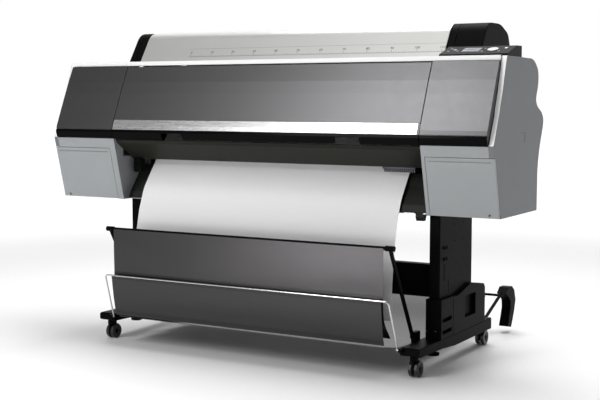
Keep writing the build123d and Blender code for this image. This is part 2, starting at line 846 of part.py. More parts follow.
def leg(side):
    """A hollow leg column with a stepped emboss on its outer face, and the sleeve about its base."""
    x_low, x_high = leg_x - leg_width / 2, leg_x + leg_width / 2
    back = leg_front + leg_depth
    column = block((x_low, x_high), (leg_front, back), (foot_top, body_floor))
    column = fillet(column.edges().filter_by(Axis.Z), 4)
    column -= block(
        (x_low + sheet_metal, x_high - sheet_metal), (leg_front + sheet_metal, back - sheet_metal),
        (foot_top - 1, body_floor - sheet_metal),
    )
    mark = [(190, 367), (212, 367), (212, 305), (250, 305), (250, 262), (230, 262), (230, 286), (190, 286)]
    column -= prism(mark, x_high - 0.8, x_high + 1)
    sleeve = block((x_low - 6, x_high + 14), (leg_front - 14, leg_front + 95), (foot_top, beam_base))
    sleeve = fillet(sleeve.edges().filter_by(Axis.Z), 3)
    blade_y = (leg_front - 0.3, leg_front + 96)
    sleeve -= block((x_low - 0.3, x_high + 0.3), blade_y, (foot_top - 1, beam_base + 1))
    column -= takeup_holes()
    for low in (122, 164):
        sleeve -= block((x_high + 1, x_high + 15), (leg_front - 2, leg_front + 80), (low, low + 14))
    pair = [column, sleeve]
    return pair if side > 0 else [mirrored(item) for item in pair]


def takeup_holes():
    """Four holes in a leg's outer wall, where a take-up unit bolts on."""
    x = leg_x + leg_width / 2
    holes = []
    for y in (takeup_centre[0] - takeup_pitch[0] / 2, takeup_centre[0] + takeup_pitch[0] / 2):
        for z in (takeup_centre[1] - takeup_pitch[1] / 2, takeup_centre[1] + takeup_pitch[1] / 2):
            holes.append(rod_x((y, z), takeup_hole, x - 5, x + 5))
    return holes


def stand_legs():
    return group(leg(-1) + leg(1))


def foot_outline():
    return [
        (foot_front, foot_under_front + 4), (foot_front + 8, foot_under_front),
        (leg_front, foot_under_front - 4),
        (leg_front + 115, foot_under_rear), (foot_rear, foot_under_rear), (foot_rear, foot_top),
        (foot_front + 6, foot_top), (foot_front, foot_top - 6),
    ]


def stand_foot(side):
    """A foot beam, with sockets for its casters and levelling screw, and the basket's brackets."""
    x_low, x_high = leg_x - foot_width / 2 - 3, leg_x + foot_width / 2 - 3
    beam = prism(foot_outline(), x_low, x_high)
    at_top = [e for e in beam.edges() if abs(e.center().Z - foot_top) < 0.1]
    top_edges = [e for e in at_top if abs(e.center().X - leg_x + 3) > 30]
    beam = fillet(top_edges, 5)
    for y in caster_stems():
        beam -= rod_z(leg_x, y, caster_stem + run, 0, foot_under_rear + 28)
    beam -= rod_z(leg_x, level_y, level_screw + run, 0, foot_top - 6)
    inner_x = x_low
    bracket_y = (arm_pivot[0] - 20, arm_pivot[0] + 22)
    bracket = block((inner_x - 16, inner_x), bracket_y, (foot_under_front + 1, foot_top + 30))
    bracket = fillet(bracket.edges().filter_by(Axis.X), 5)
    bracket -= rod_x(arm_pivot, 5 + run, inner_x - 17, inner_x + 1)
    lug_z = (hoop_pivot[1] - 7, hoop_pivot[1] + 6)
    front_lug = block((inner_x, inner_x + 12), (hoop_pivot[0] - 6, foot_front + 2), lug_z)
    front_lug -= rod_x(hoop_pivot, wire_radius + run, inner_x - 1, inner_x + 13)
    lug_z = (rear_pivot[1] - 8, rear_pivot[1] + 8)
    rear_lug = block((inner_x + 20, inner_x + 34), (foot_rear - 1, rear_pivot[0] + 8), lug_z)
    rear_lug -= rod_x(rear_pivot, 4 + run, inner_x + 19, inner_x + 35)
    foot = beam + bracket + front_lug + rear_lug
    return foot if side > 0 else mirrored(foot)


level_y = 165.0


def caster_stems():
    """The Y places of the two caster stems of a foot."""
    return foot_front + caster_inset + 9, foot_rear - caster_inset - 9


def cross_beam():
    """The folded beam that ties the two legs together."""
    reach = leg_x - leg_width / 2
    y = (leg_front + 31, leg_front + 31 + beam_depth)
    beam = block((-reach, reach), y, (beam_base, beam_base + beam_height))
    beam = fillet(beam.edges().filter_by(Axis.X), 4)
    return beam - block(
        (-reach - 1, reach + 1), (y[0] + sheet_metal, y[1] - sheet_metal),
        (beam_base + sheet_metal, beam_base + beam_height - sheet_metal),
    )


def manual_holder():
    """An open bin behind the right leg's sleeve, with a window in its outer wall."""
    front, back = leg_front + 96, foot_rear - 73
    x_low, x_high = leg_x + leg_width / 2 + 0.5, leg_x + leg_width / 2 + 14
    low = foot_top
    outline = [(front, low), (front, low + 140), (front + 40, low + 136), (front + 170, low + 166),
               (back - 14, low + 146), (back, low + 131), (back, low)]
    bin_wall = prism(outline, x_low, x_high)
    bin_wall -= prism([(front + 3, low + 3), (front + 3, low + 200), (back - 3, low + 200), (back - 3, low + 3)],
                      x_low + wall, x_high - wall)
    bin_wall -= block((x_low - 1, x_high + 1), (front + 108, front + 211), (low + 45, low + 125))
    leg_back = leg_front + leg_depth + 1
    back_part = prism([(leg_back, low), (leg_back, low + 120), (back, low + 120), (back, low)],
                      leg_x - 16, x_low + 0.2)
    back_part -= block((leg_x - 13, x_low + 0.3), (leg_back + 3, back - 3), (low + 3, low + 200))
    return bin_wall + back_part


def stand_bolts():
    """Socket bolts that tie the cross beam to the legs and the legs to the body."""
    bolts = []
    for side in (-1, 1):
        x = side * (leg_x + leg_width / 2)
        for y in (leg_front + 41, leg_front + 61):
            for z in (beam_base + 137, beam_base + 177):
                head = rod_x((y, z), 6, *sorted((x, x + side * 4)))
                bolts.append(head - rod_x((y, z), 2.5, *sorted((x + side * 1.5, x + side * 5))))
    return group(bolts)


def foot_under(y):
    """Height of a foot's underside at one of its ends."""
    return foot_under_front - 4 if y < leg_front else foot_under_rear


def caster(x, y):
    """A swivel fork between twin wheels, and the pair of wheels on their axle."""
    trail_y = y + caster_trail
    top = foot_under(y) - free
    half = wheel_gap / 2 - free
    hood = block((x - half, x + half), (y - 12, trail_y + 14), (wheel_radius - 10, top - 1.5))
    hood = fillet(hood.edges().filter_by(Axis.X), 6)
    fork = hood + rod_z(x, y, 13, 2 * wheel_radius + 1, top)
    fork += rod_z(x, y, caster_stem, 2 * wheel_radius + 2, foot_under_rear + 22)
    fork -= rod_x((trail_y, wheel_radius), caster_axle + run, x - 20, x + 20)
    wheels = rod_x((trail_y, wheel_radius), caster_axle, x - wheel_gap / 2 - 4, x + wheel_gap / 2 + 4)
    for side in (-1, 1):
        low, high = sorted((x + side * wheel_gap / 2, x + side * (wheel_gap / 2 + wheel_width)))
        wheel = rod_x((trail_y, wheel_radius), wheel_radius, low, high)
        wheel = fillet(wheel.edges().filter_by(GeomType.CIRCLE), 2.5)
        hub_low, hub_high = sorted((x + side * (wheel_gap / 2 + wheel_width - 1.5), x + side * (wheel_gap / 2 + 30)))
        wheels += wheel - rod_x((trail_y, wheel_radius), wheel_radius * 0.6, hub_low, hub_high)
    return fork, wheels


def levelling_foot(side):
    """A threaded foot that screws down past the casters."""
    x = side * leg_x
    screw = rod_z(x, level_y, level_screw, foot_under_rear - 8, foot_top - 7)
    pad = rod_z(x, level_y, level_pad, foot_under_rear - 16, foot_under_rear - 7)
    knob = rod_z(x, level_y, 11, foot_under_rear - 7, foot_under_rear + 4)
    return screw + fillet(pad.edges(), 1.5) + knob


# ---- paper basket ----

def basket_frame():
    """Two flat arms from their pivots up to sockets, and the top bar held in the sockets."""
    arms = []
    inner = leg_x - foot_width / 2 - 3 - 16
    top = (basket_reach, basket_top)
    for side in (-1, 1):
        low, high = sorted((side * (inner - free - 8), side * (inner - free)))
        arm = bar_between(low, high, arm_pivot, top, arm_section)
        arm += rod_x(arm_pivot, 12, low, high)
        pin_low, pin_high = sorted((side * (inner - 2), side * (inner + 15)))
        arm += rod_x(arm_pivot, 5, pin_low, pin_high)
        sock_low, sock_high = sorted((side * (inner - 20), side * (inner + 12)))
        arm += rod_x(top, bar_radius + 3, sock_low, sock_high)
        arm -= rod_x(top, bar_radius, *sorted((side * (inner - 21), side * (inner + 8))))
        arms.append(arm)
    return group(arms + [rod_x(top, bar_radius, -inner - 7.5, inner + 7.5)])


def basket_hoop():
    """The bent wire that holds the lower cloth out, pivoting on the feet."""
    x = leg_x - foot_width / 2 - 3 - 5
    low, high = hoop_pivot, hoop_top
    route = [(-x, low[0], low[1]), (-x + 8, high[0], high[1]), (x - 8, high[0], high[1]), (x, low[0], low[1])]
    spine = FilletPolyline(*route, radius=14)
    start = Plane(origin=spine @ 0, z_dir=spine % 0)
    wire = sweep(start * Circle(wire_radius), path=spine)
    for side in (-1, 1):
        pin_low, pin_high = sorted((side * (x - 3), side * (x + 14)))
        wire += rod_x(low, wire_radius, pin_low, pin_high)
    return wire


def hanging_sheet(route, width, radius):
    """A sheet of cloth that follows a side line."""
    line = FilletPolyline(*route, radius=radius)
    return along_x(trace(line, line_width=cloth), -width / 2, width / 2)


def upper_cloth():
    """The cloth that hangs from the top bar into the basket."""
    edge = basket_reach - bar_radius - cloth
    return hanging_sheet(
        [(edge, basket_top + 2), (edge + 1, 290), (edge + 10, 200), (edge + 60, 128)], cloth_width, 40,
    )


def lower_cloth():
    """The cloth that hangs from the wire hoop."""
    y, z = hoop_top
    return hanging_sheet([(y + wire_radius + 1, z + 2), (y + 14, 190), (y + 30, 112)], cloth_width, 60)


def rear_arms():
    """The arms behind the stand, which end in curved guards and carry the rear rod."""
    inner_x = leg_x - foot_width / 2 - 3
    arms = []
    for side in (-1, 1):
        hub_low, hub_high = sorted((side * (inner_x + 35), side * (inner_x + 42)))
        arm = bar_between(hub_low, hub_high, rear_pivot, (856, 172), 12)
        arm += rod_x(rear_pivot, 9, hub_low, hub_high)
        arm += rod_x(rear_pivot, 4, *sorted((side * (inner_x + 19), side * (inner_x + 42))))
        guard = [
            (838, 168), (866, 190), (909, 189), (936, 170), (guard_back, 128), (936, 80), (922, 52), (905, 22),
            (866, 30), (880, 60), (896, 104), (893, 132), (872, 150),
        ]
        guard_low, guard_high = sorted((side * (inner_x + 22), side * (inner_x + 60)))
        arm += prism(guard, guard_low, guard_high, 5, guard[1:8])
        arms.append(arm)
    rod = rod_x((890, 150), 5, -inner_x - 23, inner_x + 23)
    joined = arms[0] + arms[1] + rod
    return joined


def rear_cloth():
    """The cloth under the stand, from the foot of the basket to the rear rod."""
    return hanging_sheet(
        [(-48, 104), (60, 84), (300, 78), (520, 90), (716, 122), (882, 144)], cloth_width, 160,
    )


# ---- build and export ----

def body_parts():
    parts = {
        "side_covers": group([side_cover(-1), side_cover(1)]),
        "end_panels": end_panels(), "end_bands": end_bands(), "top_deck": top_deck(),
        "roll_end_housings": roll_end_housings(), "control_panel": control_panel(), "display": display(),
        "rear_cover": rear_cover(), "base_pan": base_pan(), "paper_ceiling": paper_ceiling(),
        "lower_apron": lower_apron(), "ink_bays": group([ink_bay(-1), ink_bay(1)]),
        "ink_cartridges": ink_cartridges(), "inner_frame": inner_frame(), "platen": platen(),
        "guide_rail": guide_rail(), "drive_belt": drive_belt(), "carriage_motor": carriage_motor(),
        "capping_station": capping_station(), "power_board": power_board(), "paper_sheet": paper_sheet(),
        "front_cover": front_cover(), "front_trim": front_trim(), "front_lip": front_lip(),
        "roll_cover": roll_cover(), "roll_cover_caps": roll_cover_caps(),
        "ink_door_left": ink_door(-1), "ink_door_right": ink_door(1),
        "carriage": carriage(), "print_head": print_head(),
        "drive_pulley": belt_pulley(pulley_x), "idler_pulley": belt_pulley(-pulley_x),
        "feed_roller": feed_roller(), "pinch_rollers": pinch_rollers(),
        "media_roll": media_roll(), "media_flanges": media_flanges(),
        "nav_pad": nav_pad(), "menu_button": button(menu_centre, button_radius, 1.5),
        "power_button": button(power_centre, button_radius, 1.5),
    }
    return parts


def stand_parts():
    parts = {
        "stand_legs": stand_legs(), "stand_feet": group([stand_foot(-1), stand_foot(1)]),
        "cross_beam": cross_beam(), "manual_holder": manual_holder(), "stand_bolts": stand_bolts(),
        "levelling_foot_left": levelling_foot(-1), "levelling_foot_right": levelling_foot(1),
        "basket_frame": basket_frame(), "basket_hoop": basket_hoop(),
        "upper_cloth": upper_cloth(), "lower_cloth": lower_cloth(),
        "rear_arms": rear_arms(), "rear_cloth": rear_cloth(),
    }
    front_y, rear_y = caster_stems()
    for name, x, y in (
        ("front_left", -leg_x, front_y), ("front_right", leg_x, front_y),
        ("rear_left", -leg_x, rear_y), ("rear_right", leg_x, rear_y),
    ):
        parts["caster_fork_" + name], parts["caster_wheels_" + name] = caster(x, y)
    return parts


def main():
    os.makedirs("parts", exist_ok=True)
    for parts, height in ((body_parts(), body_floor), (stand_parts(), 0.0)):
        for name, shape in parts.items():
            export_step(Pos(0, -footprint_middle, height) * shape, os.path.join("parts", name + ".step"))


main()
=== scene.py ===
import json
import math

import bmesh
import bpy
from bpy.props import FloatProperty, FloatVectorProperty, PointerProperty
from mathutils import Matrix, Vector, noise
from mathutils.geometry import interpolate_bezier


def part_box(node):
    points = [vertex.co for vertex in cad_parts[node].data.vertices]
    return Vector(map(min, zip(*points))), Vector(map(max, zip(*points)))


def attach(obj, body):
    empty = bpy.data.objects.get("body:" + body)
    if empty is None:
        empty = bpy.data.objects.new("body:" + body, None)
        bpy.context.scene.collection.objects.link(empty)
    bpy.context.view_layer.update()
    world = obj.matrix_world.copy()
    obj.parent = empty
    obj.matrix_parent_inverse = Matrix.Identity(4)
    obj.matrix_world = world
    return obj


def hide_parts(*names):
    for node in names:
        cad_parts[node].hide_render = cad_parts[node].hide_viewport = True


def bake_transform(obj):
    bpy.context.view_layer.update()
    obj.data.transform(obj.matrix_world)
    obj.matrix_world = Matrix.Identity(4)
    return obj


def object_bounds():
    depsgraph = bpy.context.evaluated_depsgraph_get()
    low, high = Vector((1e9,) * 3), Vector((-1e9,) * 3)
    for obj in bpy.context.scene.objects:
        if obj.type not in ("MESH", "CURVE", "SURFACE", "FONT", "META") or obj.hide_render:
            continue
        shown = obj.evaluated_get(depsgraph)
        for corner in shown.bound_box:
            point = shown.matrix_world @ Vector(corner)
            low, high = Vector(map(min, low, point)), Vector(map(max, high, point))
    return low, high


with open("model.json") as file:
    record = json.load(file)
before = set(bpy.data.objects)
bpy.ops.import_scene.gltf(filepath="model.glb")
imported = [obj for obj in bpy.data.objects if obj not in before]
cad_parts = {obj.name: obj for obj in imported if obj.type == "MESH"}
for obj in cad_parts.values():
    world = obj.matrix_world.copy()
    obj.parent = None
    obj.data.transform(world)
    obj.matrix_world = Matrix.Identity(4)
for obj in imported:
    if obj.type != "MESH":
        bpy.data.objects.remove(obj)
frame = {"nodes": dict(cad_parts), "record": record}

bl_info = {
    "name": "Wide-format inkjet printer",
    "version": (1, 0, 0),
    "blender": (4, 5, 0),
    "location": "3D View > Sidebar > Printer",
    "description": "Finishes, cloths and fittings of a wide-format printer on its stand",
    "category": "Object",
}

cad_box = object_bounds()
SLOT_OF = {part["node"]: part["material_slot"] for part in frame["record"]["subparts"]}
MM = 0.001
NOSE_Y = -0.429          # the body's nose, in the frame
BODY_Z = 0.55            # the body's floor


def at(x, y, z):
    """A point given in millimetres from the body's nose and the ground."""
    return Vector((x * MM, NOSE_Y + y * MM, z * MM))


# ---- shader maths ----

class Value:
    """A shader socket. Arithmetic on it adds Math nodes to its material."""

    def __init__(self, finish, socket):
        self.finish, self.socket = finish, socket

    def maths(self, operation, *others, flip=False):
        terms = [self, *others]
        if flip:
            terms.reverse()
        inputs = {i: term for i, term in enumerate(terms)}
        return self.finish.node("ShaderNodeMath", {"operation": operation}, inputs)

    def __add__(self, other):
        return self.maths("ADD", other)

    __radd__ = __add__

    def __mul__(self, other):
        return self.maths("MULTIPLY", other)

    __rmul__ = __mul__

    def __sub__(self, other):
        return self.maths("SUBTRACT", other)

    def __rsub__(self, other):
        return self.maths("SUBTRACT", other, flip=True)

    def __truediv__(self, other):
        return self.maths("DIVIDE", other)

    def __rtruediv__(self, other):
        return self.maths("DIVIDE", other, flip=True)

    def __pow__(self, other):
        return self.maths("POWER", other)

    def __lt__(self, other):
        return self.maths("LESS_THAN", other)

    def __gt__(self, other):
        return self.maths("GREATER_THAN", other)

    def fract(self):
        return self.maths("FRACT")

    def size(self):
        return self.maths("ABSOLUTE")

    def wave(self):
        return self.maths("SINE")

    def between(self, low, high):
        return (self > low) * (self < high)


class Nodes:
    """A node tree with one method that adds any node."""

    def __init__(self, tree):
        self.tree = tree
        tree.nodes.clear()

    def node(self, kind, settings, inputs, output=0):
        """Adds a node: its settings first, then its sockets' values or links."""
        added = self.tree.nodes.new(kind)
        for key, value in settings.items():
            setattr(added, key, value)
        for key, value in inputs.items():
            if isinstance(value, Value):
                self.tree.links.new(value.socket, added.inputs[key])
            else:
                added.inputs[key].default_value = value
        return Value(self, added.outputs[output])


class Finish(Nodes):
    """One procedural material, built round a Principled shader."""

    made = {}

    def __init__(self, name, colour, roughness, metallic=0.0, **constants):
        self.material = bpy.data.materials.new(name)
        self.material.use_nodes = True
        super().__init__(self.material.node_tree)
        self.shader = self.tree.nodes.new("ShaderNodeBsdfPrincipled")
        output = self.tree.nodes.new("ShaderNodeOutputMaterial")
        self.tree.links.new(self.shader.outputs[0], output.inputs["Surface"])
        self.shader.inputs["Base Color"].default_value = (*colour, 1)
        self.shader.inputs["Roughness"].default_value = roughness
        self.shader.inputs["Metallic"].default_value = metallic
        for key, value in constants.items():
            self.shader.inputs[key.replace("_", " ")].default_value = value
        self.material.diffuse_color = (*colour, 1)
        self.place = self.node("ShaderNodeTexCoord", {}, {}, "Object")
        Finish.made[name] = self

    def scaled(self, x, y, z):
        return self.node("ShaderNodeVectorMath", {"operation": "MULTIPLY"}, {0: self.place, 1: (x, y, z)})

    def noise(self, scale, detail=3.0, rough=0.5, stretch=(1, 1, 1)):
        inputs = {"Vector": self.scaled(*stretch), "Scale": scale, "Detail": detail, "Roughness": rough}
        return self.node("ShaderNodeTexNoise", {}, inputs)

    def axis(self, index):
        return self.node("ShaderNodeSeparateXYZ", {}, {0: self.place}, index)

    def blend(self, share, first, second):
        """A colour mixed from two, by a share from 0 to 1."""
        inputs = {0: share}
        for socket, colour in ((6, first), (7, second)):
            inputs[socket] = colour if isinstance(colour, Value) else (*colour, 1)
        return self.node("ShaderNodeMix", {"data_type": "RGBA"}, inputs, 2)

    def feed(self, name, value):
        self.tree.links.new(value.socket, self.shader.inputs[name])
        return self

    def relief(self, height, depth, strength=1.0, edge=0.0):
        """Surface relief from a height, over softened edges where an edge radius is given."""
        inputs = {"Height": height, "Distance": depth, "Strength": strength}
        if edge:
            inputs["Normal"] = self.node("ShaderNodeBevel", {"samples": 4}, {"Radius": edge})
        return self.feed("Normal", self.node("ShaderNodeBump", {}, inputs))

    def mottled(self, first, second, scale, detail=3.0, stretch=(1, 1, 1)):
        share = self.noise(scale, detail, 0.5, stretch)
        return self.feed("Base Color", self.blend(share, first, second))


def shade(colour, factor):
    return tuple(min(1.0, c * factor) for c in colour)


# ---- sizes and colours a user may change ----

def colour_property(name, description, default):
    return FloatVectorProperty(
        name=name, description=description, default=default, size=3, subtype="COLOR", min=0.0, max=1.0,
    )


def length_property(name, description, default, least=0.0):
    return FloatProperty(name=name, description=description, default=default, min=least, unit="LENGTH")


def power_property(name, description, default):
    return FloatProperty(name=name, description=description, default=default, min=0.0, subtype="POWER")


class PRINTER_PG_shell(bpy.types.PropertyGroup):
    """Colours of the printer body and its stand."""

    side: colour_property("Sides", "Grey of the side covers", (0.145, 0.154, 0.163))
    bay: colour_property("Ink bays", "Grey of the ink bays and their doors", (0.29, 0.304, 0.313))
    front: colour_property("Front", "Dark metallic paint of the cover and end panels", (0.105, 0.103, 0.106))
    deck: colour_property("Deck", "White silver of the top deck and the side covers' rims", (0.93, 0.93, 0.93))
    roll: colour_property("Roll cover", "Silver of the roll cover", (0.72, 0.72, 0.7))
    trim: colour_property("Trim", "Bright brushed strip across the front", (0.62, 0.62, 0.62))
    black: colour_property("Black", "Moulded black parts", (0.003, 0.003, 0.0032))
    stand: colour_property("Stand", "Powder-coated steel of the stand", (0.003, 0.003, 0.0032))
    apron: colour_property("Apron", "Painted plate under the paper exit", (0.012, 0.012, 0.010))
    edge: length_property("Edge softness", "Radius of the softened edges", 0.0012)


class PRINTER_PG_cloth(bpy.types.PropertyGroup):
    """The basket's cloths."""

    colour: colour_property("Cloth", "Grey of the woven cloth", (0.055, 0.053, 0.0545))
    thickness: length_property("Thickness", "Thickness of the woven cloth", 0.0009)
    hem: length_property("Hem", "Width of the sewn hems", 0.017)
    sag: length_property("Sag", "Depth of the soft waves in the cloth", 0.0018)
    stitch: length_property("Stitch", "Length of one stitch", 0.0045, 0.001)


class PRINTER_PG_ruler(bpy.types.PropertyGroup):
    """The paper ruler printed on the roll cover."""

    start: FloatProperty(
        name="Start", description="Place of the ruler's first mark along X", default=-0.494, unit="LENGTH",
    )
    length: length_property("Length", "Length of the ruler", 1.10)
    step: length_property("Step", "Distance between marks", 0.01, 0.001)
    figure: length_property("Figure height", "Height of the figures", 0.015)


class PRINTER_PG_stage(bpy.types.PropertyGroup):
    """Floor, lights and camera."""

    floor: colour_property("Floor", "Colour of the floor", (0.9, 0.9, 0.9))
    key: power_property("Key light", "Power of the tall front light", 118.0)
    low: power_property("Low light", "Power of the light near the floor", 13.0)
    top: power_property("Top light", "Power of the overhead light", 210.0)
    side: power_property("Side light", "Power of the light on the right", 3.0)
    sky: FloatProperty(
        name="Backdrop", description="Strength of the white light behind the printer", default=1.0, min=0.0,
    )
    dim: FloatProperty(
        name="Surroundings", description="Strength of the light all round", default=0.17, min=0.0,
    )


# ---- mesh helpers ----

def add_box(bm, low, high, edge=0.0):
    """A block between two corners, with rounded edges."""
    made = bmesh.ops.create_cube(bm, size=1.0)["verts"]
    low, high = Vector(low), Vector(high)
    low, high = Vector(map(min, low, high)), Vector(map(max, low, high))
    for v in made:
        v.co = Vector(low[i] + (high[i] - low[i]) * (v.co[i] + 0.5) for i in range(3))
    if edge:
        edges = list({e for v in made for e in v.link_edges})
        bmesh.ops.bevel(bm, geom=edges, offset=edge, segments=3, affect="EDGES", profile=0.5)


def sweep_ring(bm, points, radius, sides=12, closed=False):
    """A round bar along points."""
    rings, previous = [], None
    count = len(points)
    for i, point in enumerate(points):
        before = points[i - 1] if i or closed else point
        after = points[(i + 1) % count] if i < count - 1 or closed else point
        along = (after - before).normalized()
        if previous is None:
            previous = along.orthogonal().normalized()
        across = (previous - along * previous.dot(along)).normalized()
        previous, up = across, along.cross(across)
        r = radius[i] if isinstance(radius, (list, tuple)) else radius
        rings.append([
            bm.verts.new(point + (across * math.cos(a) + up * math.sin(a)) * r)
            for a in (2 * math.pi * k / sides for k in range(sides))
        ])
    pairs = list(zip(rings, rings[1:])) + ([(rings[-1], rings[0])] if closed else [])
    for first, second in pairs:
        for k in range(sides):
            m = (k + 1) % sides
            bm.faces.new((first[k], first[m], second[m], second[k]))
    if not closed:
        bm.faces.new(list(reversed(rings[0])))
        bm.faces.new(rings[-1])


def turned(bm, centre, axis, profile, sides=40):
    """A lathe shape: a closed profile of (along, radius) turned about an axis."""
    axis = Vector(axis).normalized()
    across = axis.orthogonal().normalized()
    up = axis.cross(across)
    rings = []
    for k in range(sides):
        a = 2 * math.pi * k / sides
        out = across * math.cos(a) + up * math.sin(a)
        rings.append([bm.verts.new(centre + axis * along + out * radius) for along, radius in profile])
    count = len(profile)
    for k in range(sides):
        first, second = rings[k], rings[(k + 1) % sides]
        for i in range(count):
            j = (i + 1) % count
            bm.faces.new((first[i], first[j], second[j], second[i]))
    bmesh.ops.remove_doubles(bm, verts=bm.verts, dist=1e-6)


def slab(bm, outline, normal, thickness):
    """A flat shape with an outline of points, raised along its normal."""
    normal = Vector(normal).normalized() * thickness
    low = [bm.verts.new(p) for p in outline]
    high = [bm.verts.new(p + normal) for p in outline]
    bm.faces.new(high)
    bm.faces.new(list(reversed(low)))
    count = len(outline)
    for i in range(count):
        j = (i + 1) % count
        bm.faces.new((low[i], low[j], high[j], high[i]))


def piece(name, bm, finish, rides=None, smooth=35.0):
    """Turns a bmesh into a finished piece that rides on a body."""
    bmesh.ops.recalc_face_normals(bm, faces=bm.faces)
    mesh = bpy.data.meshes.new(name)
    bm.to_mesh(mesh)
    bm.free()
    obj = bpy.data.objects.new(name, mesh)
    bpy.context.scene.collection.objects.link(obj)
    mesh.materials.append(Finish.made[finish].material)
    mesh.polygons.foreach_set("use_smooth", [True] * len(mesh.polygons))
    mesh.set_sharp_from_angle(angle=math.radians(smooth))
    if rides:
        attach(obj, rides)
    return obj


def smooth_route(points, steps):
    """Evenly spread points on a soft curve through the given (y, z) points."""
    knots = [Vector((0, y, z)) for y, z in points]
    curve = []
    for i in range(len(knots) - 1):
        a, b = knots[i], knots[i + 1]
        before = knots[i - 1] if i else a
        after = knots[i + 2] if i + 2 < len(knots) else b
        reach = (b - a).length / 3
        lead = a + (b - before).normalized() * reach
        tail = b - (after - a).normalized() * reach
        curve += interpolate_bezier(a, lead, tail, b, 24)[0 if i == 0 else 1:]
    lengths = [0.0]
    for a, b in zip(curve, curve[1:]):
        lengths.append(lengths[-1] + (b - a).length)
    even, j = [], 0
    for k in range(steps + 1):
        want = lengths[-1] * k / steps
        while j < len(curve) - 2 and lengths[j + 1] < want:
            j += 1
        share = (want - lengths[j]) / max(lengths[j + 1] - lengths[j], 1e-9)
        even.append(curve[j].lerp(curve[j + 1], min(max(share, 0), 1)))
    return even, lengths[-1]


# ---- finishes ----

# The bright rim of a side cover, which frames the front and the deck.
RIM_SIDE = 0.9308
RIM_BACK = NOSE_Y + 0.30
RIM_FOOT = BODY_Z + 0.243
# The small plate outlined on each side cover.
PLATE_Y = (NOSE_Y + 0.255, NOSE_Y + 0.301)
PLATE_Z = (0.798, 0.831)
PLATE_LINE = 0.002
# Fine lines across the front cover, above a height.
LINES_PER_METRE = 330.0
LINES_FOOT = 0.965
BELT_TEETH_PER_METRE = 500.0
CELLS_PER_METRE = 1500.0
WEAVE_PITCH = 0.0011

def moulded(name, colour, roughness, edge, grain=0.00012, **constants):
    """Textured moulded plastic."""
    finish = Finish(name, colour, roughness, **constants)
    finish.mottled(shade(colour, 0.95), shade(colour, 1.05), 7.0)
    finish.feed("Roughness", roughness - 0.04 + finish.noise(60.0) * 0.08)
    finish.relief(finish.noise(1500.0, 2.0), grain, 0.55, edge)
    return finish


def painted_metal(name, colour, roughness, edge, metallic=0.6, flake=0.06, **constants):
    """Metallic paint with a fine flake."""
    finish = Finish(name, colour, roughness, metallic, **constants)
    flakes = finish.noise(2600.0, 1.0)
    dark, light = shade(colour, 1 - flake * 2), shade(colour, 1 + flake * 2)
    finish.feed("Base Color", finish.blend(flakes, dark, light))
    finish.feed("Roughness", roughness - 0.03 + finish.noise(35.0) * 0.06)
    finish.relief(flakes, 0.00003, 0.4, edge)
    return finish


def brushed_metal(name, colour, roughness, edge, along=0, depth=0.00006, metallic=0.9, **constants):
    """Metal brushed along one axis."""
    stretch = [900.0, 900.0, 900.0]
    stretch[along] = 9.0
    finish = Finish(name, colour, roughness, metallic, **constants)
    lines = finish.noise(1.0, 4.0, 0.6, stretch)
    finish.feed("Base Color", finish.blend(lines, shade(colour, 0.86), shade(colour, 1.12)))
    finish.feed("Roughness", roughness - 0.08 + lines * 0.16)
    finish.relief(lines, depth, 0.5, edge)
    return finish


def rubber(name, colour, roughness, edge):
    finish = Finish(name, colour, roughness)
    finish.mottled(shade(colour, 0.8), shade(colour, 1.3), 40.0)
    finish.relief(finish.noise(700.0, 4.0), 0.0001, 0.6, edge)
    return finish


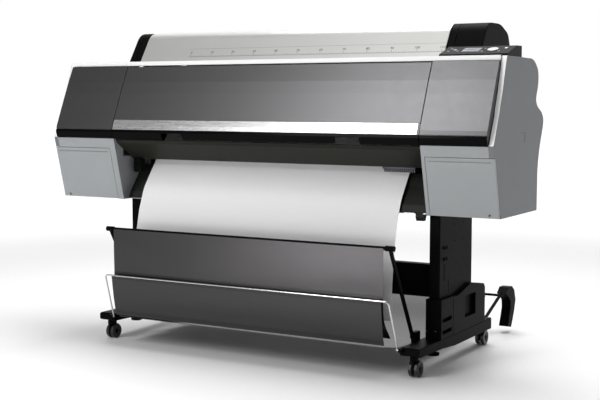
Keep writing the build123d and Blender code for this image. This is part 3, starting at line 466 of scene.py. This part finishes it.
class PRINTER_OT_finishes(bpy.types.Operator):
    """Paint, moulding and metal on every part of the printer and its stand"""

    bl_idname = "printer.finishes"
    bl_label = "Finishes"

    def execute(self, context):
        shell, cloth = context.scene.printer_shell, context.scene.printer_cloth
        self.side_covers(shell)
        self.casings(shell)
        self.blacks(shell)
        self.mechanism(shell.edge)
        self.display()
        self.circuit()
        self.paper()
        self.cloth(tuple(cloth.colour))
        self.marks()
        for name, obj in frame["nodes"].items():
            obj.data.materials.clear()
            obj.data.materials.append(Finish.made[SLOT_OF[name]].material)
        return {"FINISHED"}

    def side_covers(self, shell):
        """Grey moulding with a bright rim, and the outline of a small plate pressed into it."""
        colour = tuple(shell.side)
        side = moulded("side_cover_grey", colour, 0.46, shell.edge)
        y, z = side.axis(1), side.axis(2)
        tone = side.blend(side.noise(7.0), shade(colour, 0.95), shade(colour, 1.05))
        rim = (side.axis(0).size() < RIM_SIDE) * (y < RIM_BACK) * (z > RIM_FOOT)
        side.feed("Base Color", side.blend(rim, tone, tuple(shell.deck)))
        plate, within = (
            y.between(PLATE_Y[0] + line, PLATE_Y[1] - line) * z.between(PLATE_Z[0] + line, PLATE_Z[1] - line)
            for line in (0.0, PLATE_LINE)
        )
        side.relief(side.noise(1500.0, 2.0) * 0.15 + (plate - within), 0.0006, 0.6, shell.edge)

    def casings(self, shell):
        edge, dark = shell.edge, tuple(shell.front)
        moulded("bay_grey", tuple(shell.bay), 0.42, edge)
        front = painted_metal("front_dark", dark, 0.32, edge, 0.85, Coat_Weight=0.1, Coat_Roughness=0.3)
        height = front.axis(2)
        lines = ((height * LINES_PER_METRE).fract() > 0.82) * (height > LINES_FOOT)
        front.feed("Base Color", front.blend(lines, dark, shade(dark, 0.72)))
        painted_metal("deck_silver", tuple(shell.deck), 0.4, edge, 0.1, 0.02)
        brushed_metal("brushed_trim", tuple(shell.trim), 0.26, edge)
        painted_metal("roll_cover_silver", tuple(shell.roll), 0.34, edge, 0.75, 0.02)
        moulded("key_light", (0.55, 0.56, 0.57), 0.35, edge * 0.4)
        painted_metal("apron_grey", tuple(shell.apron), 0.5, edge, 0.1, 0.05, Specular_IOR_Level=0.2)
        moulded("guide_olive", (0.016, 0.016, 0.0125), 0.5, edge * 0.5, Specular_IOR_Level=0.1)

    def blacks(self, shell):
        edge, black, steel = shell.edge, tuple(shell.black), tuple(shell.stand)
        moulded("gloss_black", black, 0.14, edge * 0.6, 0.00002, Specular_IOR_Level=0.15, IOR=1.2)
        moulded("satin_black", shade(black, 1.3), 0.42, edge * 0.6, Specular_IOR_Level=0.08, IOR=1.25)
        stand = Finish("stand_black", steel, 0.42, Specular_IOR_Level=0.08, IOR=1.25)
        stand.mottled(shade(steel, 0.85), shade(steel, 1.25), 12.0)
        stand.feed("Roughness", 0.38 + stand.noise(50.0) * 0.1)
        stand.relief(stand.noise(850.0, 2.0), 0.00018, 0.5, edge)
        moulded("cartridge_black", (0.02, 0.02, 0.022), 0.4, edge * 0.5)
        rubber("wheel_black", (0.014, 0.014, 0.015), 0.38, edge * 0.4)

    def mechanism(self, edge):
        """Steel, aluminium and rubber of the working parts."""
        brushed_metal("steel_sheet", (0.42, 0.43, 0.44), 0.38, edge * 0.5, depth=0.00003, metallic=1.0)
        brushed_metal("rail_aluminium", (0.55, 0.56, 0.57), 0.3, edge * 0.5)
        brushed_metal("bright_steel", (0.72, 0.72, 0.73), 0.14, 0, depth=0.00001, metallic=1.0)
        rubber("roller_rubber", (0.05, 0.05, 0.052), 0.65, edge * 0.3)
        belt = rubber("belt_rubber", (0.02, 0.02, 0.02), 0.6, 0)
        belt.relief((belt.axis(0) * BELT_TEETH_PER_METRE).fract() > 0.5, 0.0006, 0.6)

    def display(self):
        """Dark glass over a cool screen with a faint grid of cells."""
        glass = Finish("display_glass", (0.02, 0.022, 0.035), 0.08, Coat_Weight=1.0, Coat_Roughness=0.03)
        across, along = (glass.axis(i) * CELLS_PER_METRE for i in (0, 1))
        cells = (across.fract() > 0.12) * (along.fract() > 0.12)
        glass.feed("Base Color", glass.blend(cells, (0.012, 0.013, 0.02), (0.05, 0.055, 0.09)))

    def circuit(self):
        """A green board with lighter tracks."""
        board = Finish("circuit", (0.02, 0.12, 0.05), 0.4, Coat_Weight=0.4)
        colours = {
            "Color1": (0.016, 0.09, 0.04, 1), "Color2": (0.02, 0.13, 0.055, 1), "Mortar": (0.05, 0.22, 0.1, 1),
        }
        inputs = {"Vector": board.place, "Scale": 60.0, "Mortar Size": 0.03, **colours}
        board.feed("Base Color", board.node("ShaderNodeTexBrick", {"offset": 0.5}, inputs))
        board.relief(board.noise(300.0), 0.0001, 0.4)

    def paper(self):
        paper = Finish("paper", (0.86, 0.86, 0.86), 0.6, Specular_IOR_Level=0.3)
        paper.mottled((0.84, 0.84, 0.84), (0.88, 0.88, 0.882), 120.0, 5.0)
        paper.relief(paper.noise(900.0, 5.0, 0.7), 0.00005, 0.4)

    def cloth(self, colour):
        """A close plain weave with a satin face, its hem tape and its thread. The hem tape is the cloth's grey
        darkened by painted shade of the fold along each hem.
        """
        turns = 2 * math.pi / WEAVE_PITCH
        # The hem tape's tint, the cloth's grey at 0.8, is painted shade of the fold along each hem.
        for name, tint, rough in (("cloth_grey", colour, 0.3), ("hem_tape", shade(colour, 0.8), 0.34)):
            weave = Finish(name, tint, rough, 0.9)
            warp = (weave.axis(0) * turns).wave()
            weft = ((weave.axis(2) + weave.axis(1) * 0.8) * turns).wave()
            thread = warp * weft * 0.5 + 0.5
            slub = weave.noise(1.0, 3.0, 0.6, (30, 30, 900))
            tone = thread * 0.5 + slub * 0.5
            weave.feed("Base Color", weave.blend(tone, shade(tint, 0.9), shade(tint, 1.1)))
            weave.feed("Roughness", rough - 0.04 + slub * 0.08)
            weave.relief(thread, 0.0001, 0.35)
        thread = Finish("thread_grey", shade(colour, 0.9), 0.7)
        thread.relief((thread.axis(0) * 3000.0).wave(), 0.0001, 0.5)

    def marks(self):
        """Printed marks: dark on the ruler, pale on the control panel. Screws and spurs too."""
        for name, colour, metallic in (
            ("ink_dark", (0.03, 0.03, 0.032), 0.0), ("ink_pale", (0.42, 0.44, 0.5), 0.0),
            ("ink_white", (0.85, 0.85, 0.85), 0.0), ("screw_zinc", (0.3, 0.3, 0.31), 1.0),
            ("tooth_blue", (0.02, 0.024, 0.034), 0.0),
        ):
            ink = Finish(name, colour, 0.4, metallic)
            ink.mottled(shade(colour, 0.93), shade(colour, 1.07), 400.0)
            ink.relief(ink.noise(1800.0), 0.00003, 0.3)


# ---- cloths ----

HEM_LIFT = 0.0011        # a hem above the cloth's middle
HEM_CLOTH = 0.0005
# Routes of the hanging cloths, in millimetres from the nose and the ground.
UPPER_ROUTE = ((-71.9, 446), (-71.0, 290), (-62.0, 200), (-12.4, 129))
LOWER_ROUTE = ((-88.6, 271), (-78.6, 190), (-62.6, 113))
REAR_ROUTE = ((-47, 104), (60, 84.5), (300, 78.5), (520, 90.5), (716, 122.5), (881, 144))


def hanging_route(points):
    return [(NOSE_Y + y * MM, z * MM) for y, z in points]


def cloth_piece(name, context, low_x, high_x, route, columns, rows, loose):
    """A hanging cloth: soft waves that fade at the held ends, given real thickness."""
    props = context.scene.printer_cloth
    even, length = smooth_route(route, rows)
    bm = bmesh.new()
    grid = []
    for j, point in enumerate(even):
        v = j / rows
        before, after = even[max(j - 1, 0)], even[min(j + 1, rows)]
        along = (after - before).normalized()
        out = Vector((0, -along.z, along.y)) if along.z < 0 else Vector((0, along.z, -along.y))
        line = []
        for i in range(columns + 1):
            u = i / columns
            x = low_x + (high_x - low_x) * u
            broad = noise.noise(Vector((x * 2.3, j * 0.04, 3.1)))
            wave = broad + 0.5 * noise.noise(Vector((x * 6.1, j * 0.07, 9.7)))
            hold = math.sin(math.pi * min(max(v, 0), 1)) if loose == "middle" else v ** 1.5
            line.append(bm.verts.new(Vector((x, point.y, point.z)) + out * wave * props.sag * hold))
        grid.append(line)
    for j in range(rows):
        for i in range(columns):
            bm.faces.new((grid[j][i], grid[j][i + 1], grid[j + 1][i + 1], grid[j + 1][i]))
    bm.normal_update()
    bmesh.ops.solidify(bm, geom=bm.faces[:], thickness=props.thickness)
    obj = piece(name, bm, "cloth_grey", smooth=60)
    return obj, length, sample_rows(obj, rows, columns)


def sample_rows(obj, rows, columns):
    """The first (rows + 1) x (columns + 1) points of a cloth, row by row."""
    co = [v.co.copy() for v in obj.data.vertices[: (rows + 1) * (columns + 1)]]
    return [co[j * (columns + 1):(j + 1) * (columns + 1)] for j in range(rows + 1)]


def front_normal(row_a, row_b):
    along = (row_b[0] - row_a[0]).normalized()
    out = Vector((0, -abs(along.z), along.y if along.z < 0 else -along.y))
    return out.normalized()


def band(name, rows_of_points, lift, thickness):
    """A hem: a folded strip of cloth lying on a grid of the cloth's own points."""
    bm = bmesh.new()
    count = len(rows_of_points)
    grid = []
    for j, row in enumerate(rows_of_points):
        a, b = rows_of_points[max(j - 1, 0)], rows_of_points[min(j + 1, count - 1)]
        out = front_normal(a, b)
        grid.append([bm.verts.new(p + out * lift) for p in row])
    for j in range(count - 1):
        for i in range(len(grid[0]) - 1):
            bm.faces.new((grid[j][i], grid[j][i + 1], grid[j + 1][i + 1], grid[j + 1][i]))
    bm.normal_update()
    bmesh.ops.solidify(bm, geom=bm.faces[:], thickness=thickness)
    # The hem's finish is the cloth's grey darkened with painted fold shade.
    return piece(name, bm, "hem_tape", smooth=60)


def stitches(name, lines, stitch):
    """Rows of raised stitches along lines of points."""
    bm = bmesh.new()
    for line in lines:
        walked = 0.0
        for a, b in zip(line, line[1:]):
            run = (b - a).length
            place = 0.0
            while walked + (run - place) >= stitch * 1.4:
                place += stitch * 1.4 - walked
                point = a.lerp(b, place / run)
                towards = (b - a).normalized() * stitch
                path = [point, point + towards * 0.5, point + towards]
                sweep_ring(bm, path, [0.0002, 0.00042, 0.0002], 5)
                walked = 0.0
            walked += run - place
    return piece(name, bm, "thread_grey", smooth=60)


def hemmed_cloth(context, name, low_x, high_x, route, body, nodes, loose, hems):
    """A cloth with sewn hems across it at the given shares of its length, all riding on one body."""
    props = context.scene.printer_cloth
    columns, rows = 115, 60
    cloth, length, grid = cloth_piece(name, context, low_x, high_x, route, columns, rows, loose)
    edge = max(1, round(props.hem * rows / length))
    extras, lines = [], []
    for share in hems:
        first = min(max(round(share * rows) - edge // 2, 0), rows - edge)
        strip = grid[first:first + edge + 1]
        extras.append(band(f"{name}_hem_{round(share * 100)}", strip, HEM_LIFT, HEM_CLOTH))
        for j in (first, first + edge):
            out = front_normal(grid[max(j - 1, 0)], grid[min(j + 1, rows)])
            lines.append([p + out * (HEM_LIFT + 0.0003) for p in grid[j]])
    extras.append(stitches(name + "_stitching", lines, props.stitch))
    for obj in (cloth, *extras):
        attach(obj, body)
    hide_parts(*nodes)


class PRINTER_OT_basket_cloths(bpy.types.Operator):
    """The basket's two hanging cloths, hemmed and stitched"""

    bl_idname = "printer.basket_cloths"
    bl_label = "Basket cloths"

    def execute(self, context):
        low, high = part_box("upper_cloth")
        hemmed_cloth(context, "upper_basket_cloth", low.x, high.x, hanging_route(UPPER_ROUTE), "basket",
                     ["upper_cloth"], "middle", (0.505,))
        low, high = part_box("lower_cloth")
        hemmed_cloth(context, "lower_basket_cloth", low.x, high.x, hanging_route(LOWER_ROUTE), "hoop",
                     ["lower_cloth"], "low", (0.05, 0.94))
        return {"FINISHED"}


class PRINTER_OT_rear_cloth(bpy.types.Operator):
    """The long cloth that runs back under the printer to the rear arms"""

    bl_idname = "printer.rear_cloth"
    bl_label = "Rear cloth"

    def execute(self, context):
        low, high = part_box("rear_cloth")
        props = context.scene.printer_cloth
        columns, rows = 92, 80
        cloth, length, grid = cloth_piece(
            "rear_long_cloth", context, low.x, high.x, hanging_route(REAR_ROUTE), columns, rows, "middle",
        )
        side = max(1, round(props.hem / ((high.x - low.x) / columns)))
        left, right = (
            band(f"rear_long_cloth_hem_{name}", [row[part] for row in grid], HEM_LIFT, HEM_CLOTH)
            for name, part in (("left", slice(0, side + 1)), ("right", slice(-side - 1, None)))
        )
        for obj in (cloth, left, right):
            at(0, 600, 100)
            at(0, 690, 118)
            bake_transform(obj)
        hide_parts("rear_cloth")
        return {"FINISHED"}


# ---- ruler ----

ROLL_FACE = (82.8, 130.0)      # run and rise of the roll cover's sloping face
RULER_LINE = 0.03        # the ruler's base line, up the slope from the roll cover's front edge
RULER_TOP = 0.068
MARK_HALF = 0.0007       # half a mark's width
MARK_INK = 0.00012

class PRINTER_OT_ruler(bpy.types.Operator):
    """The paper ruler printed on the roll cover: lines, marks and plain figures"""

    bl_idname = "printer.ruler"
    bl_label = "Ruler"

    def execute(self, context):
        props = context.scene.printer_ruler
        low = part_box("roll_cover")[0]
        slope = Vector((0, *ROLL_FACE)).normalized()
        out = Vector((0, -slope.z, slope.y))
        origin = Vector((0, low.y, low.z))

        def on(x, up, lift=0.0):
            return origin + Vector((x, 0, 0)) + slope * up + out * lift

        bm = bmesh.new()

        def mark(left, right, bottom, top):
            slab(bm, [on(left, bottom), on(right, bottom), on(right, top), on(left, top)], out, MARK_INK)

        begin, end = props.start - 0.012, props.start + props.length + 0.012
        mark(begin, end, RULER_LINE, RULER_LINE + 0.0008)
        mark(begin, end, RULER_TOP, RULER_TOP + 0.0005)
        mark(end, end + 0.0008, RULER_LINE, RULER_TOP)
        count = round(props.length / props.step)
        for i in range(count + 1):
            x = props.start + i * props.step
            rise = 0.012 if i % 10 == 0 else 0.008 if i % 5 == 0 else 0.005
            mark(x - MARK_HALF, x + MARK_HALF, RULER_LINE, RULER_LINE + rise)
            if i % 10 == 0:
                self.figures(bm, str(i), x, props.figure, on)
        piece("ruler_marks", bm, "ink_dark", "roll_cover")
        return {"FINISHED"}

    def figures(self, bm, text, x, height, on):
        """Plain figures above a mark, flat on the sloping face."""
        curve = bpy.data.curves.new("figure", "FONT")
        curve.body, curve.size, curve.extrude = text, height, 0.00006
        curve.align_x, curve.resolution_u = "CENTER", 3
        obj = bpy.data.objects.new("figure", curve)
        bpy.context.scene.collection.objects.link(obj)
        bpy.context.view_layer.update()
        mesh = bpy.data.meshes.new_from_object(obj)
        for v in mesh.vertices:
            v.co = on(x + v.co.x, RULER_LINE + 0.016 + v.co.y, 0.0001 + v.co.z)
        bm.from_mesh(mesh)
        bpy.data.objects.remove(obj)
        bpy.data.curves.remove(curve)
        bpy.data.meshes.remove(mesh)


# ---- control panel ----

PANEL_FOOT = (172.0, 548.0)    # the panel's lower edge, from the nose and above the body's floor
PANEL_SLOPE = math.atan2(29.0, 90.0)
PANEL_ALONG = Vector((0, math.cos(PANEL_SLOPE), math.sin(PANEL_SLOPE)))
PANEL_UP = Vector((0, -math.sin(PANEL_SLOPE), math.cos(PANEL_SLOPE)))
SCREEN_LIFT = 0.35             # symbols over the screen, the panel and the tops of the keys
FACE_LIFT = 0.05
BUTTON_LIFT = 1.52
NAV_LIFT = 1.85
NAV_UP = 50.0                  # the navigation pad's middle, up the slope


def panel_point(u, v, w):
    """A point on the sloping control panel in millimetres: along X, up the slope and above it."""
    foot = at(u, PANEL_FOOT[0], BODY_Z / MM + PANEL_FOOT[1])
    return foot + PANEL_ALONG * v * MM + PANEL_UP * w * MM


def panel_shape(bm, points, lift, thickness=0.00035):
    slab(bm, [panel_point(u, v, lift) for u, v in points], PANEL_UP, thickness)


def panel_bar(bm, left, right, low, high, lift, thickness=0.00035):
    panel_shape(bm, [(left, low), (right, low), (right, high), (left, high)], lift, thickness)


def disc(u, v, radius):
    turns = (2 * math.pi * k / 24 for k in range(24))
    return [(u + radius * math.cos(a), v + radius * math.sin(a)) for a in turns]


def middle_x(node):
    """The middle of a node along X, in millimetres."""
    low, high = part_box(node)
    return (low.x + high.x) / 2 / MM


class PRINTER_OT_panel(bpy.types.Operator):
    """Screen contents, key symbols and lamps of the control panel"""

    bl_idname = "printer.panel"
    bl_label = "Control panel"

    def execute(self, context):
        self.screen()
        nav, menu, power = (middle_x(node) for node in ("nav_pad", "menu_button", "power_button"))
        self.nav(nav)
        bm = bmesh.new()
        for u, v in (
            (menu - 18, 66), (menu - 20, 38), (menu + 14, 38), (nav - 32, 66), (nav - 34, 32), (nav + 26, 32),
        ):
            panel_shape(bm, [(u - 5, v), (u - 2, v + 2.4), (u + 5, v), (u + 2, v - 2.4)], FACE_LIFT)
            panel_bar(bm, u - 4, u + 4, v - 6, v - 4.8, FACE_LIFT)
        piece("panel_symbols", bm, "ink_pale", "base")
        bm = bmesh.new()
        panel_shape(bm, disc(power, 62, 4.2), BUTTON_LIFT, 0.0002)
        piece("power_lamp", bm, "ink_white", "power_button")
        bm = bmesh.new()
        for low in (46.8, 49.4, 52.0):
            panel_bar(bm, menu - 3.6, menu + 3.6, low, low + 1.2, BUTTON_LIFT, 0.0002)
        piece("menu_symbol", bm, "ink_pale", "menu_button")
        return {"FINISHED"}

    def screen(self):
        """Level bars over lines of text on the screen."""
        low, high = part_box("display")
        left, right = low.x / MM + 4, high.x / MM - 4
        bm = bmesh.new()
        levels = (0.9, 0.7, 0.85, 0.5, 0.95, 0.6, 0.8, 0.75, 0.4, 0.65, 0.88)
        pitch = (right - left) / len(levels)
        for i, level in enumerate(levels):
            u = left + i * pitch
            panel_bar(bm, u, u + pitch * 0.6, 33, 33 + 15 * level, SCREEN_LIFT)
        panel_bar(bm, left, right, 53, 54, SCREEN_LIFT)
        for row, length in ((58, 0.72), (63, 0.45), (68, 0.6)):
            panel_bar(bm, left, left + (right - left) * length, row, row + 2.2, SCREEN_LIFT)
        piece("screen_contents", bm, "ink_pale", "base")

    def nav(self, middle):
        """A white diamond ring with four arrows and a centre key."""
        bm = bmesh.new()
        size, power, height = 15.2, 1.35, 1.75
        points = []
        for k in range(64):
            a = 2 * math.pi * k / 64
            c, s = math.cos(a), math.sin(a)
            reach = size / (abs(c) ** power + abs(s) ** power) ** (1 / power)
            points.append(panel_point(middle + reach * c, NAV_UP + reach * s, height))
        sweep_ring(bm, points, 0.0011, 8, closed=True)
        for v in bm.verts:
            off = (v.co - panel_point(middle, NAV_UP, height)).dot(PANEL_UP)
            v.co -= PANEL_UP * off * 0.45
        piece("nav_ring", bm, "ink_white", "nav_pad", 60)
        bm = bmesh.new()
        arrow = ((11.5, 0), (7.2, 3.2), (8.4, 0), (7.2, -3.2))
        for k in range(4):
            c, s = math.cos(math.pi / 2 * k), math.sin(math.pi / 2 * k)
            turned_arrow = [(middle + x * c - y * s, NAV_UP + x * s + y * c) for x, y in arrow]
            panel_shape(bm, turned_arrow, NAV_LIFT, 0.0002)
        panel_shape(bm, disc(middle, NAV_UP, 4), NAV_LIFT, 0.0003)
        piece("nav_symbols", bm, "ink_white", "nav_pad", 30)


# ---- fittings ----

SEAL_ROUTE = ((1, 248), (46, 340), (80, 430), (111, 524), (118, 533.5), (236, 534.5), (300, 533))

class PRINTER_OT_seals(bpy.types.Operator):
    """Black seals between the side covers and the silver end bands"""

    bl_idname = "printer.seals"
    bl_label = "Seals"

    def execute(self, context):
        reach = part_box("end_bands")[1].x
        for side, name in ((-1, "seal_left"), (1, "seal_right")):
            bm = bmesh.new()
            edge = side * (reach + 0.0006)
            points, _ = smooth_route([(NOSE_Y + y * MM, BODY_Z + z * MM) for y, z in SEAL_ROUTE], 60)
            sweep_ring(bm, [Vector((edge, p.y + 0.002, p.z - 0.001)) for p in points], 0.0022, 8)
            piece(name, bm, "satin_black", "base", 60)
        return {"FINISHED"}


class PRINTER_OT_exit_fittings(bpy.types.Operator):
    """The edge guide and the row of spurs at the paper exit"""

    bl_idname = "printer.exit_fittings"
    bl_label = "Exit fittings"

    def execute(self, context):
        bm = bmesh.new()
        add_box(bm, at(-612, 100, 656), at(-576, 132, 712), 0.004)
        add_box(bm, at(-606, 94, 668), at(-582, 104, 690), 0.003)
        add_box(bm, at(-598, 90, 676), at(-590, 97, 682), 0.0015)
        piece("edge_guide", bm, "satin_black", "base")
        bm = bmesh.new()
        add_box(bm, at(470, 131, 700), at(596, 145, 711), 0.002)
        for i in range(15):
            x = 475 + i * 8.2
            tooth = ((0.0, 701), (5.5, 701), (4.2, 689), (1.3, 689))
            slab(bm, [at(x + shift, 133, z) for shift, z in tooth], (0, 1, 0), 0.009)
        piece("exit_spurs", bm, "tooth_blue", "base")
        return {"FINISHED"}


def screw_head(bm, centre, axis, radius):
    """A domed screw head with a cross recess."""
    axis = Vector(axis).normalized()
    turned(bm, centre, axis, [(0, radius), (0.0006, radius), (0.0013, radius * 0.8), (0.0017, radius * 0.42),
                              (0.0008, radius * 0.34), (0.0008, 0.00005), (0, 0.00005)], 24)


class PRINTER_OT_screws(bpy.types.Operator):
    """Screws along the back of the body and on the stand's feet"""

    bl_idname = "printer.screws"
    bl_label = "Screws"

    def execute(self, context):
        bm = bmesh.new()
        for x in (-880, -660, -440, -220, 0, 220, 440, 660, 880):
            screw_head(bm, at(x, 437.8, 590), (0, 1, 0), 0.0042)
            screw_head(bm, at(x, 437.9, 646), (0, 1, 0), 0.0042)
        piece("rear_screws", bm, "screw_zinc", "base", 40)
        bm = bmesh.new()
        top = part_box("stand_feet")[1].z / MM - 0.1
        leg_x = middle_x("caster_wheels_front_right")
        for side in (-1, 1):
            for y in (150, 480):
                for shift in (-20, 14):
                    screw_head(bm, at(side * leg_x + shift, y, top), (0, 0, 1), 0.005)
        piece("foot_screws", bm, "screw_zinc", "base", 40)
        return {"FINISHED"}


WHEEL_INSIDE = 0.0052          # a wheel's inner face from the middle of its caster


class PRINTER_OT_casters(bpy.types.Operator):
    """Rubber treads, hub caps and brake levers of the twin casters"""

    bl_idname = "printer.casters"
    bl_label = "Casters"

    def execute(self, context):
        for corner in ("front_left", "front_right", "rear_left", "rear_right"):
            low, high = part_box(f"caster_wheels_{corner}")
            centre = (low + high) / 2
            radius = (high.z - low.z) / 2
            half = (high.x - low.x) / 2
            treads, hubs = bmesh.new(), bmesh.new()
            for side in (-1, 1):
                face = centre + Vector((side * (half - 0.0006), 0, 0))
                turned(hubs, face, (side, 0, 0), [
                    (-0.0012, 0.0002), (0.0, 0.0002), (0.0004, radius * 0.2), (0.0, radius * 0.3),
                    (-0.0012, radius * 0.34),
                ], 32)
                rim = face - Vector((side * 0.0014, 0, 0))
                for k in range(5):
                    a = 2 * math.pi * k / 5
                    out = Vector((0, math.cos(a), math.sin(a)))
                    sweep_ring(hubs, [rim + out * radius * 0.3, rim + out * radius * 0.6], 0.0013, 6)
                ridge = centre + Vector((side * (half + WHEEL_INSIDE) / 2, 0, 0))
                for shift in (-0.0028, 0.0, 0.0028):
                    turned(treads, ridge + Vector((shift, 0, 0)), (side, 0, 0),
                           [(-0.0008, radius - 0.0009), (0.0, radius - 0.00005), (0.0008, radius - 0.0009),
                            (0.0, radius - 0.0016)], 48)
            piece(f"tread_{corner}", treads, "wheel_black", f"wheels_{corner}", 50)
            piece(f"hubs_{corner}", hubs, "satin_black", f"wheels_{corner}", 40)
            self.brake(corner, centre, radius)
        return {"FINISHED"}

    def brake(self, corner, centre, radius):
        """A foot lever on the fork, above the wheels."""
        bm = bmesh.new()
        line = [centre + Vector((0, 0.004 + 0.022 * t, radius * (0.98 - 0.2 * t))) for t in (0, 0.4, 0.8, 1.0)]
        half = Vector((0.0036, 0, 0))
        slab(bm, [p - half for p in line] + [p + half for p in reversed(line)], (0, 0.3, 1), 0.0022)
        piece(f"brake_lever_{corner}", bm, "satin_black", f"caster_{corner}", 30)


class PRINTER_OT_stand_details(bpy.types.Operator):
    """Pressed ribs along the cross beam"""

    bl_idname = "printer.stand_details"
    bl_label = "Stand details"

    def execute(self, context):
        low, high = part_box("cross_beam")
        bm = bmesh.new()
        for z in (low.z + 0.030, high.z - 0.030):
            front, back = low.y - 0.0006, low.y + 0.0004
            add_box(bm, (low.x + 0.05, front, z - 0.004), (high.x - 0.05, back, z + 0.004), 0.0004)
        piece("beam_ribs", bm, "stand_black", "base")
        return {"FINISHED"}


# ---- stage ----

VIEW_AHEAD = (-0.5, 0.86, 0.0)     # where the camera looks, level with the ground
# Each light's place, the point that it faces, and its width and height.
LIGHTS = {
    "key": ((-1.75, -4.2, 4.0), (0.3, -0.4, 1.0), (1.3, 3.6)),
    "low": ((-0.6, -2.7, 0.32), (0.45, -0.5, 0.36), (0.9, 0.6)),
    "top": ((0.3, 0.8, 4.6), (0, 0, 0.6), (4.0, 3.0)),
    "side": ((4.2, 0.6, 3.4), (0.6, 0, 0.9), (1.6, 1.6)),
}
FLOOR_FADE = (2.3, 4.6)            # where the floor starts and ends its fade into the backdrop
CAMERA_PLACE = (2.2787, -3.997, 0.9522)
CAMERA_TILT = (84.95, 0, 30.10)    # degrees
CAMERA_LENS = 70

class PRINTER_OT_stage(bpy.types.Operator):
    """Floor, lights, surroundings and camera"""

    bl_idname = "printer.stage"
    bl_label = "Stage"

    def execute(self, context):
        props = context.scene.printer_stage
        bm = bmesh.new()
        bmesh.ops.create_grid(bm, x_segments=8, y_segments=8, size=60.0)
        mesh = bpy.data.meshes.new("floor")
        bm.to_mesh(mesh)
        bm.free()
        floor = bpy.data.objects.new("floor", mesh)
        context.scene.collection.objects.link(floor)
        floor.location.z = cad_box[0].z
        paint = Finish("floor_paint", tuple(props.floor), 0.6, Specular_IOR_Level=0.2, Emission_Strength=1.0)
        reach = paint.node("ShaderNodeVectorMath", {"operation": "LENGTH"}, {0: paint.place}, 1)
        far = paint.node(
            "ShaderNodeMapRange", {"interpolation_type": "SMOOTHSTEP"},
            {"Value": reach, "From Min": FLOOR_FADE[0], "From Max": FLOOR_FADE[1]},
        )
        paint.feed("Base Color", paint.blend(far, tuple(props.floor), (0, 0, 0)))
        paint.feed("Emission Color", paint.blend(far, (0, 0, 0), (1, 1, 1)))
        mesh.materials.append(paint.material)
        for name, (place, target, size) in LIGHTS.items():
            self.light(context, name, place, target, size, getattr(props, name))
        world = bpy.data.worlds.new("surroundings")
        context.scene.world = world
        world.use_nodes = True
        sky = Nodes(world.node_tree)
        direction = sky.node("ShaderNodeTexCoord", {}, {}, "Generated")
        dot = {"operation": "DOT_PRODUCT"}
        facing = sky.node("ShaderNodeVectorMath", dot, {0: direction, 1: VIEW_AHEAD}, 1)
        strength = sky.node(
            "ShaderNodeMapRange", {"interpolation_type": "SMOOTHSTEP"},
            {"Value": facing, "From Min": 0.2, "From Max": 0.85, "To Min": props.dim, "To Max": props.sky},
        )
        sky.node("ShaderNodeBackground", {}, {"Color": (1, 1, 1, 1), "Strength": strength})
        output = sky.tree.nodes.new("ShaderNodeOutputWorld")
        sky.tree.links.new(sky.tree.nodes["Background"].outputs[0], output.inputs["Surface"])
        context.scene.view_settings.view_transform = "Standard"
        camera = bpy.data.objects.new("camera", bpy.data.cameras.new("camera"))
        context.scene.collection.objects.link(camera)
        camera.location = CAMERA_PLACE
        camera.rotation_euler = [math.radians(a) for a in CAMERA_TILT]
        camera.data.lens, camera.data.sensor_width = CAMERA_LENS, 36
        context.scene.camera = camera
        return {"FINISHED"}

    def light(self, context, name, place, target, size, power):
        data = bpy.data.lights.new(name, "AREA")
        data.shape, data.size, data.size_y, data.energy = "RECTANGLE", size[0], size[1], power
        lamp = bpy.data.objects.new(name, data)
        lamp.location = place
        lamp.rotation_euler = (Vector(target) - Vector(place)).to_track_quat("-Z", "Y").to_euler()
        context.scene.collection.objects.link(lamp)


# ---- panel and registration ----

STEPS = (
    PRINTER_OT_finishes, PRINTER_OT_basket_cloths, PRINTER_OT_rear_cloth, PRINTER_OT_ruler, PRINTER_OT_panel,
    PRINTER_OT_seals, PRINTER_OT_exit_fittings, PRINTER_OT_screws, PRINTER_OT_casters, PRINTER_OT_stand_details,
    PRINTER_OT_stage,
)
GROUPS = {
    "printer_shell": PRINTER_PG_shell, "printer_cloth": PRINTER_PG_cloth, "printer_ruler": PRINTER_PG_ruler,
    "printer_stage": PRINTER_PG_stage,
}


class PRINTER_PT_sidebar(bpy.types.Panel):
    """The printer's sizes, colours and steps"""

    bl_idname = "PRINTER_PT_sidebar"
    bl_label = "Wide-format printer"
    bl_space_type = "VIEW_3D"
    bl_region_type = "UI"
    bl_category = "Printer"

    def draw(self, context):
        for name, group in GROUPS.items():
            box = self.layout.box()
            for key in group.__annotations__:
                box.prop(getattr(context.scene, name), key)
        for step in STEPS:
            self.layout.operator(step.bl_idname)


def register():
    for cls in (*GROUPS.values(), *STEPS, PRINTER_PT_sidebar):
        bpy.utils.register_class(cls)
    for name, group in GROUPS.items():
        setattr(bpy.types.Scene, name, PointerProperty(type=group))


def unregister():
    for name in GROUPS:
        delattr(bpy.types.Scene, name)
    for cls in reversed((*GROUPS.values(), *STEPS, PRINTER_PT_sidebar)):
        bpy.utils.unregister_class(cls)


def main():
    register()
    for step in STEPS:
        group, name = step.bl_idname.split(".")
        getattr(getattr(bpy.ops, group), name)()
    bpy.context.view_layer.update()


if __name__ == "__main__":
    main()
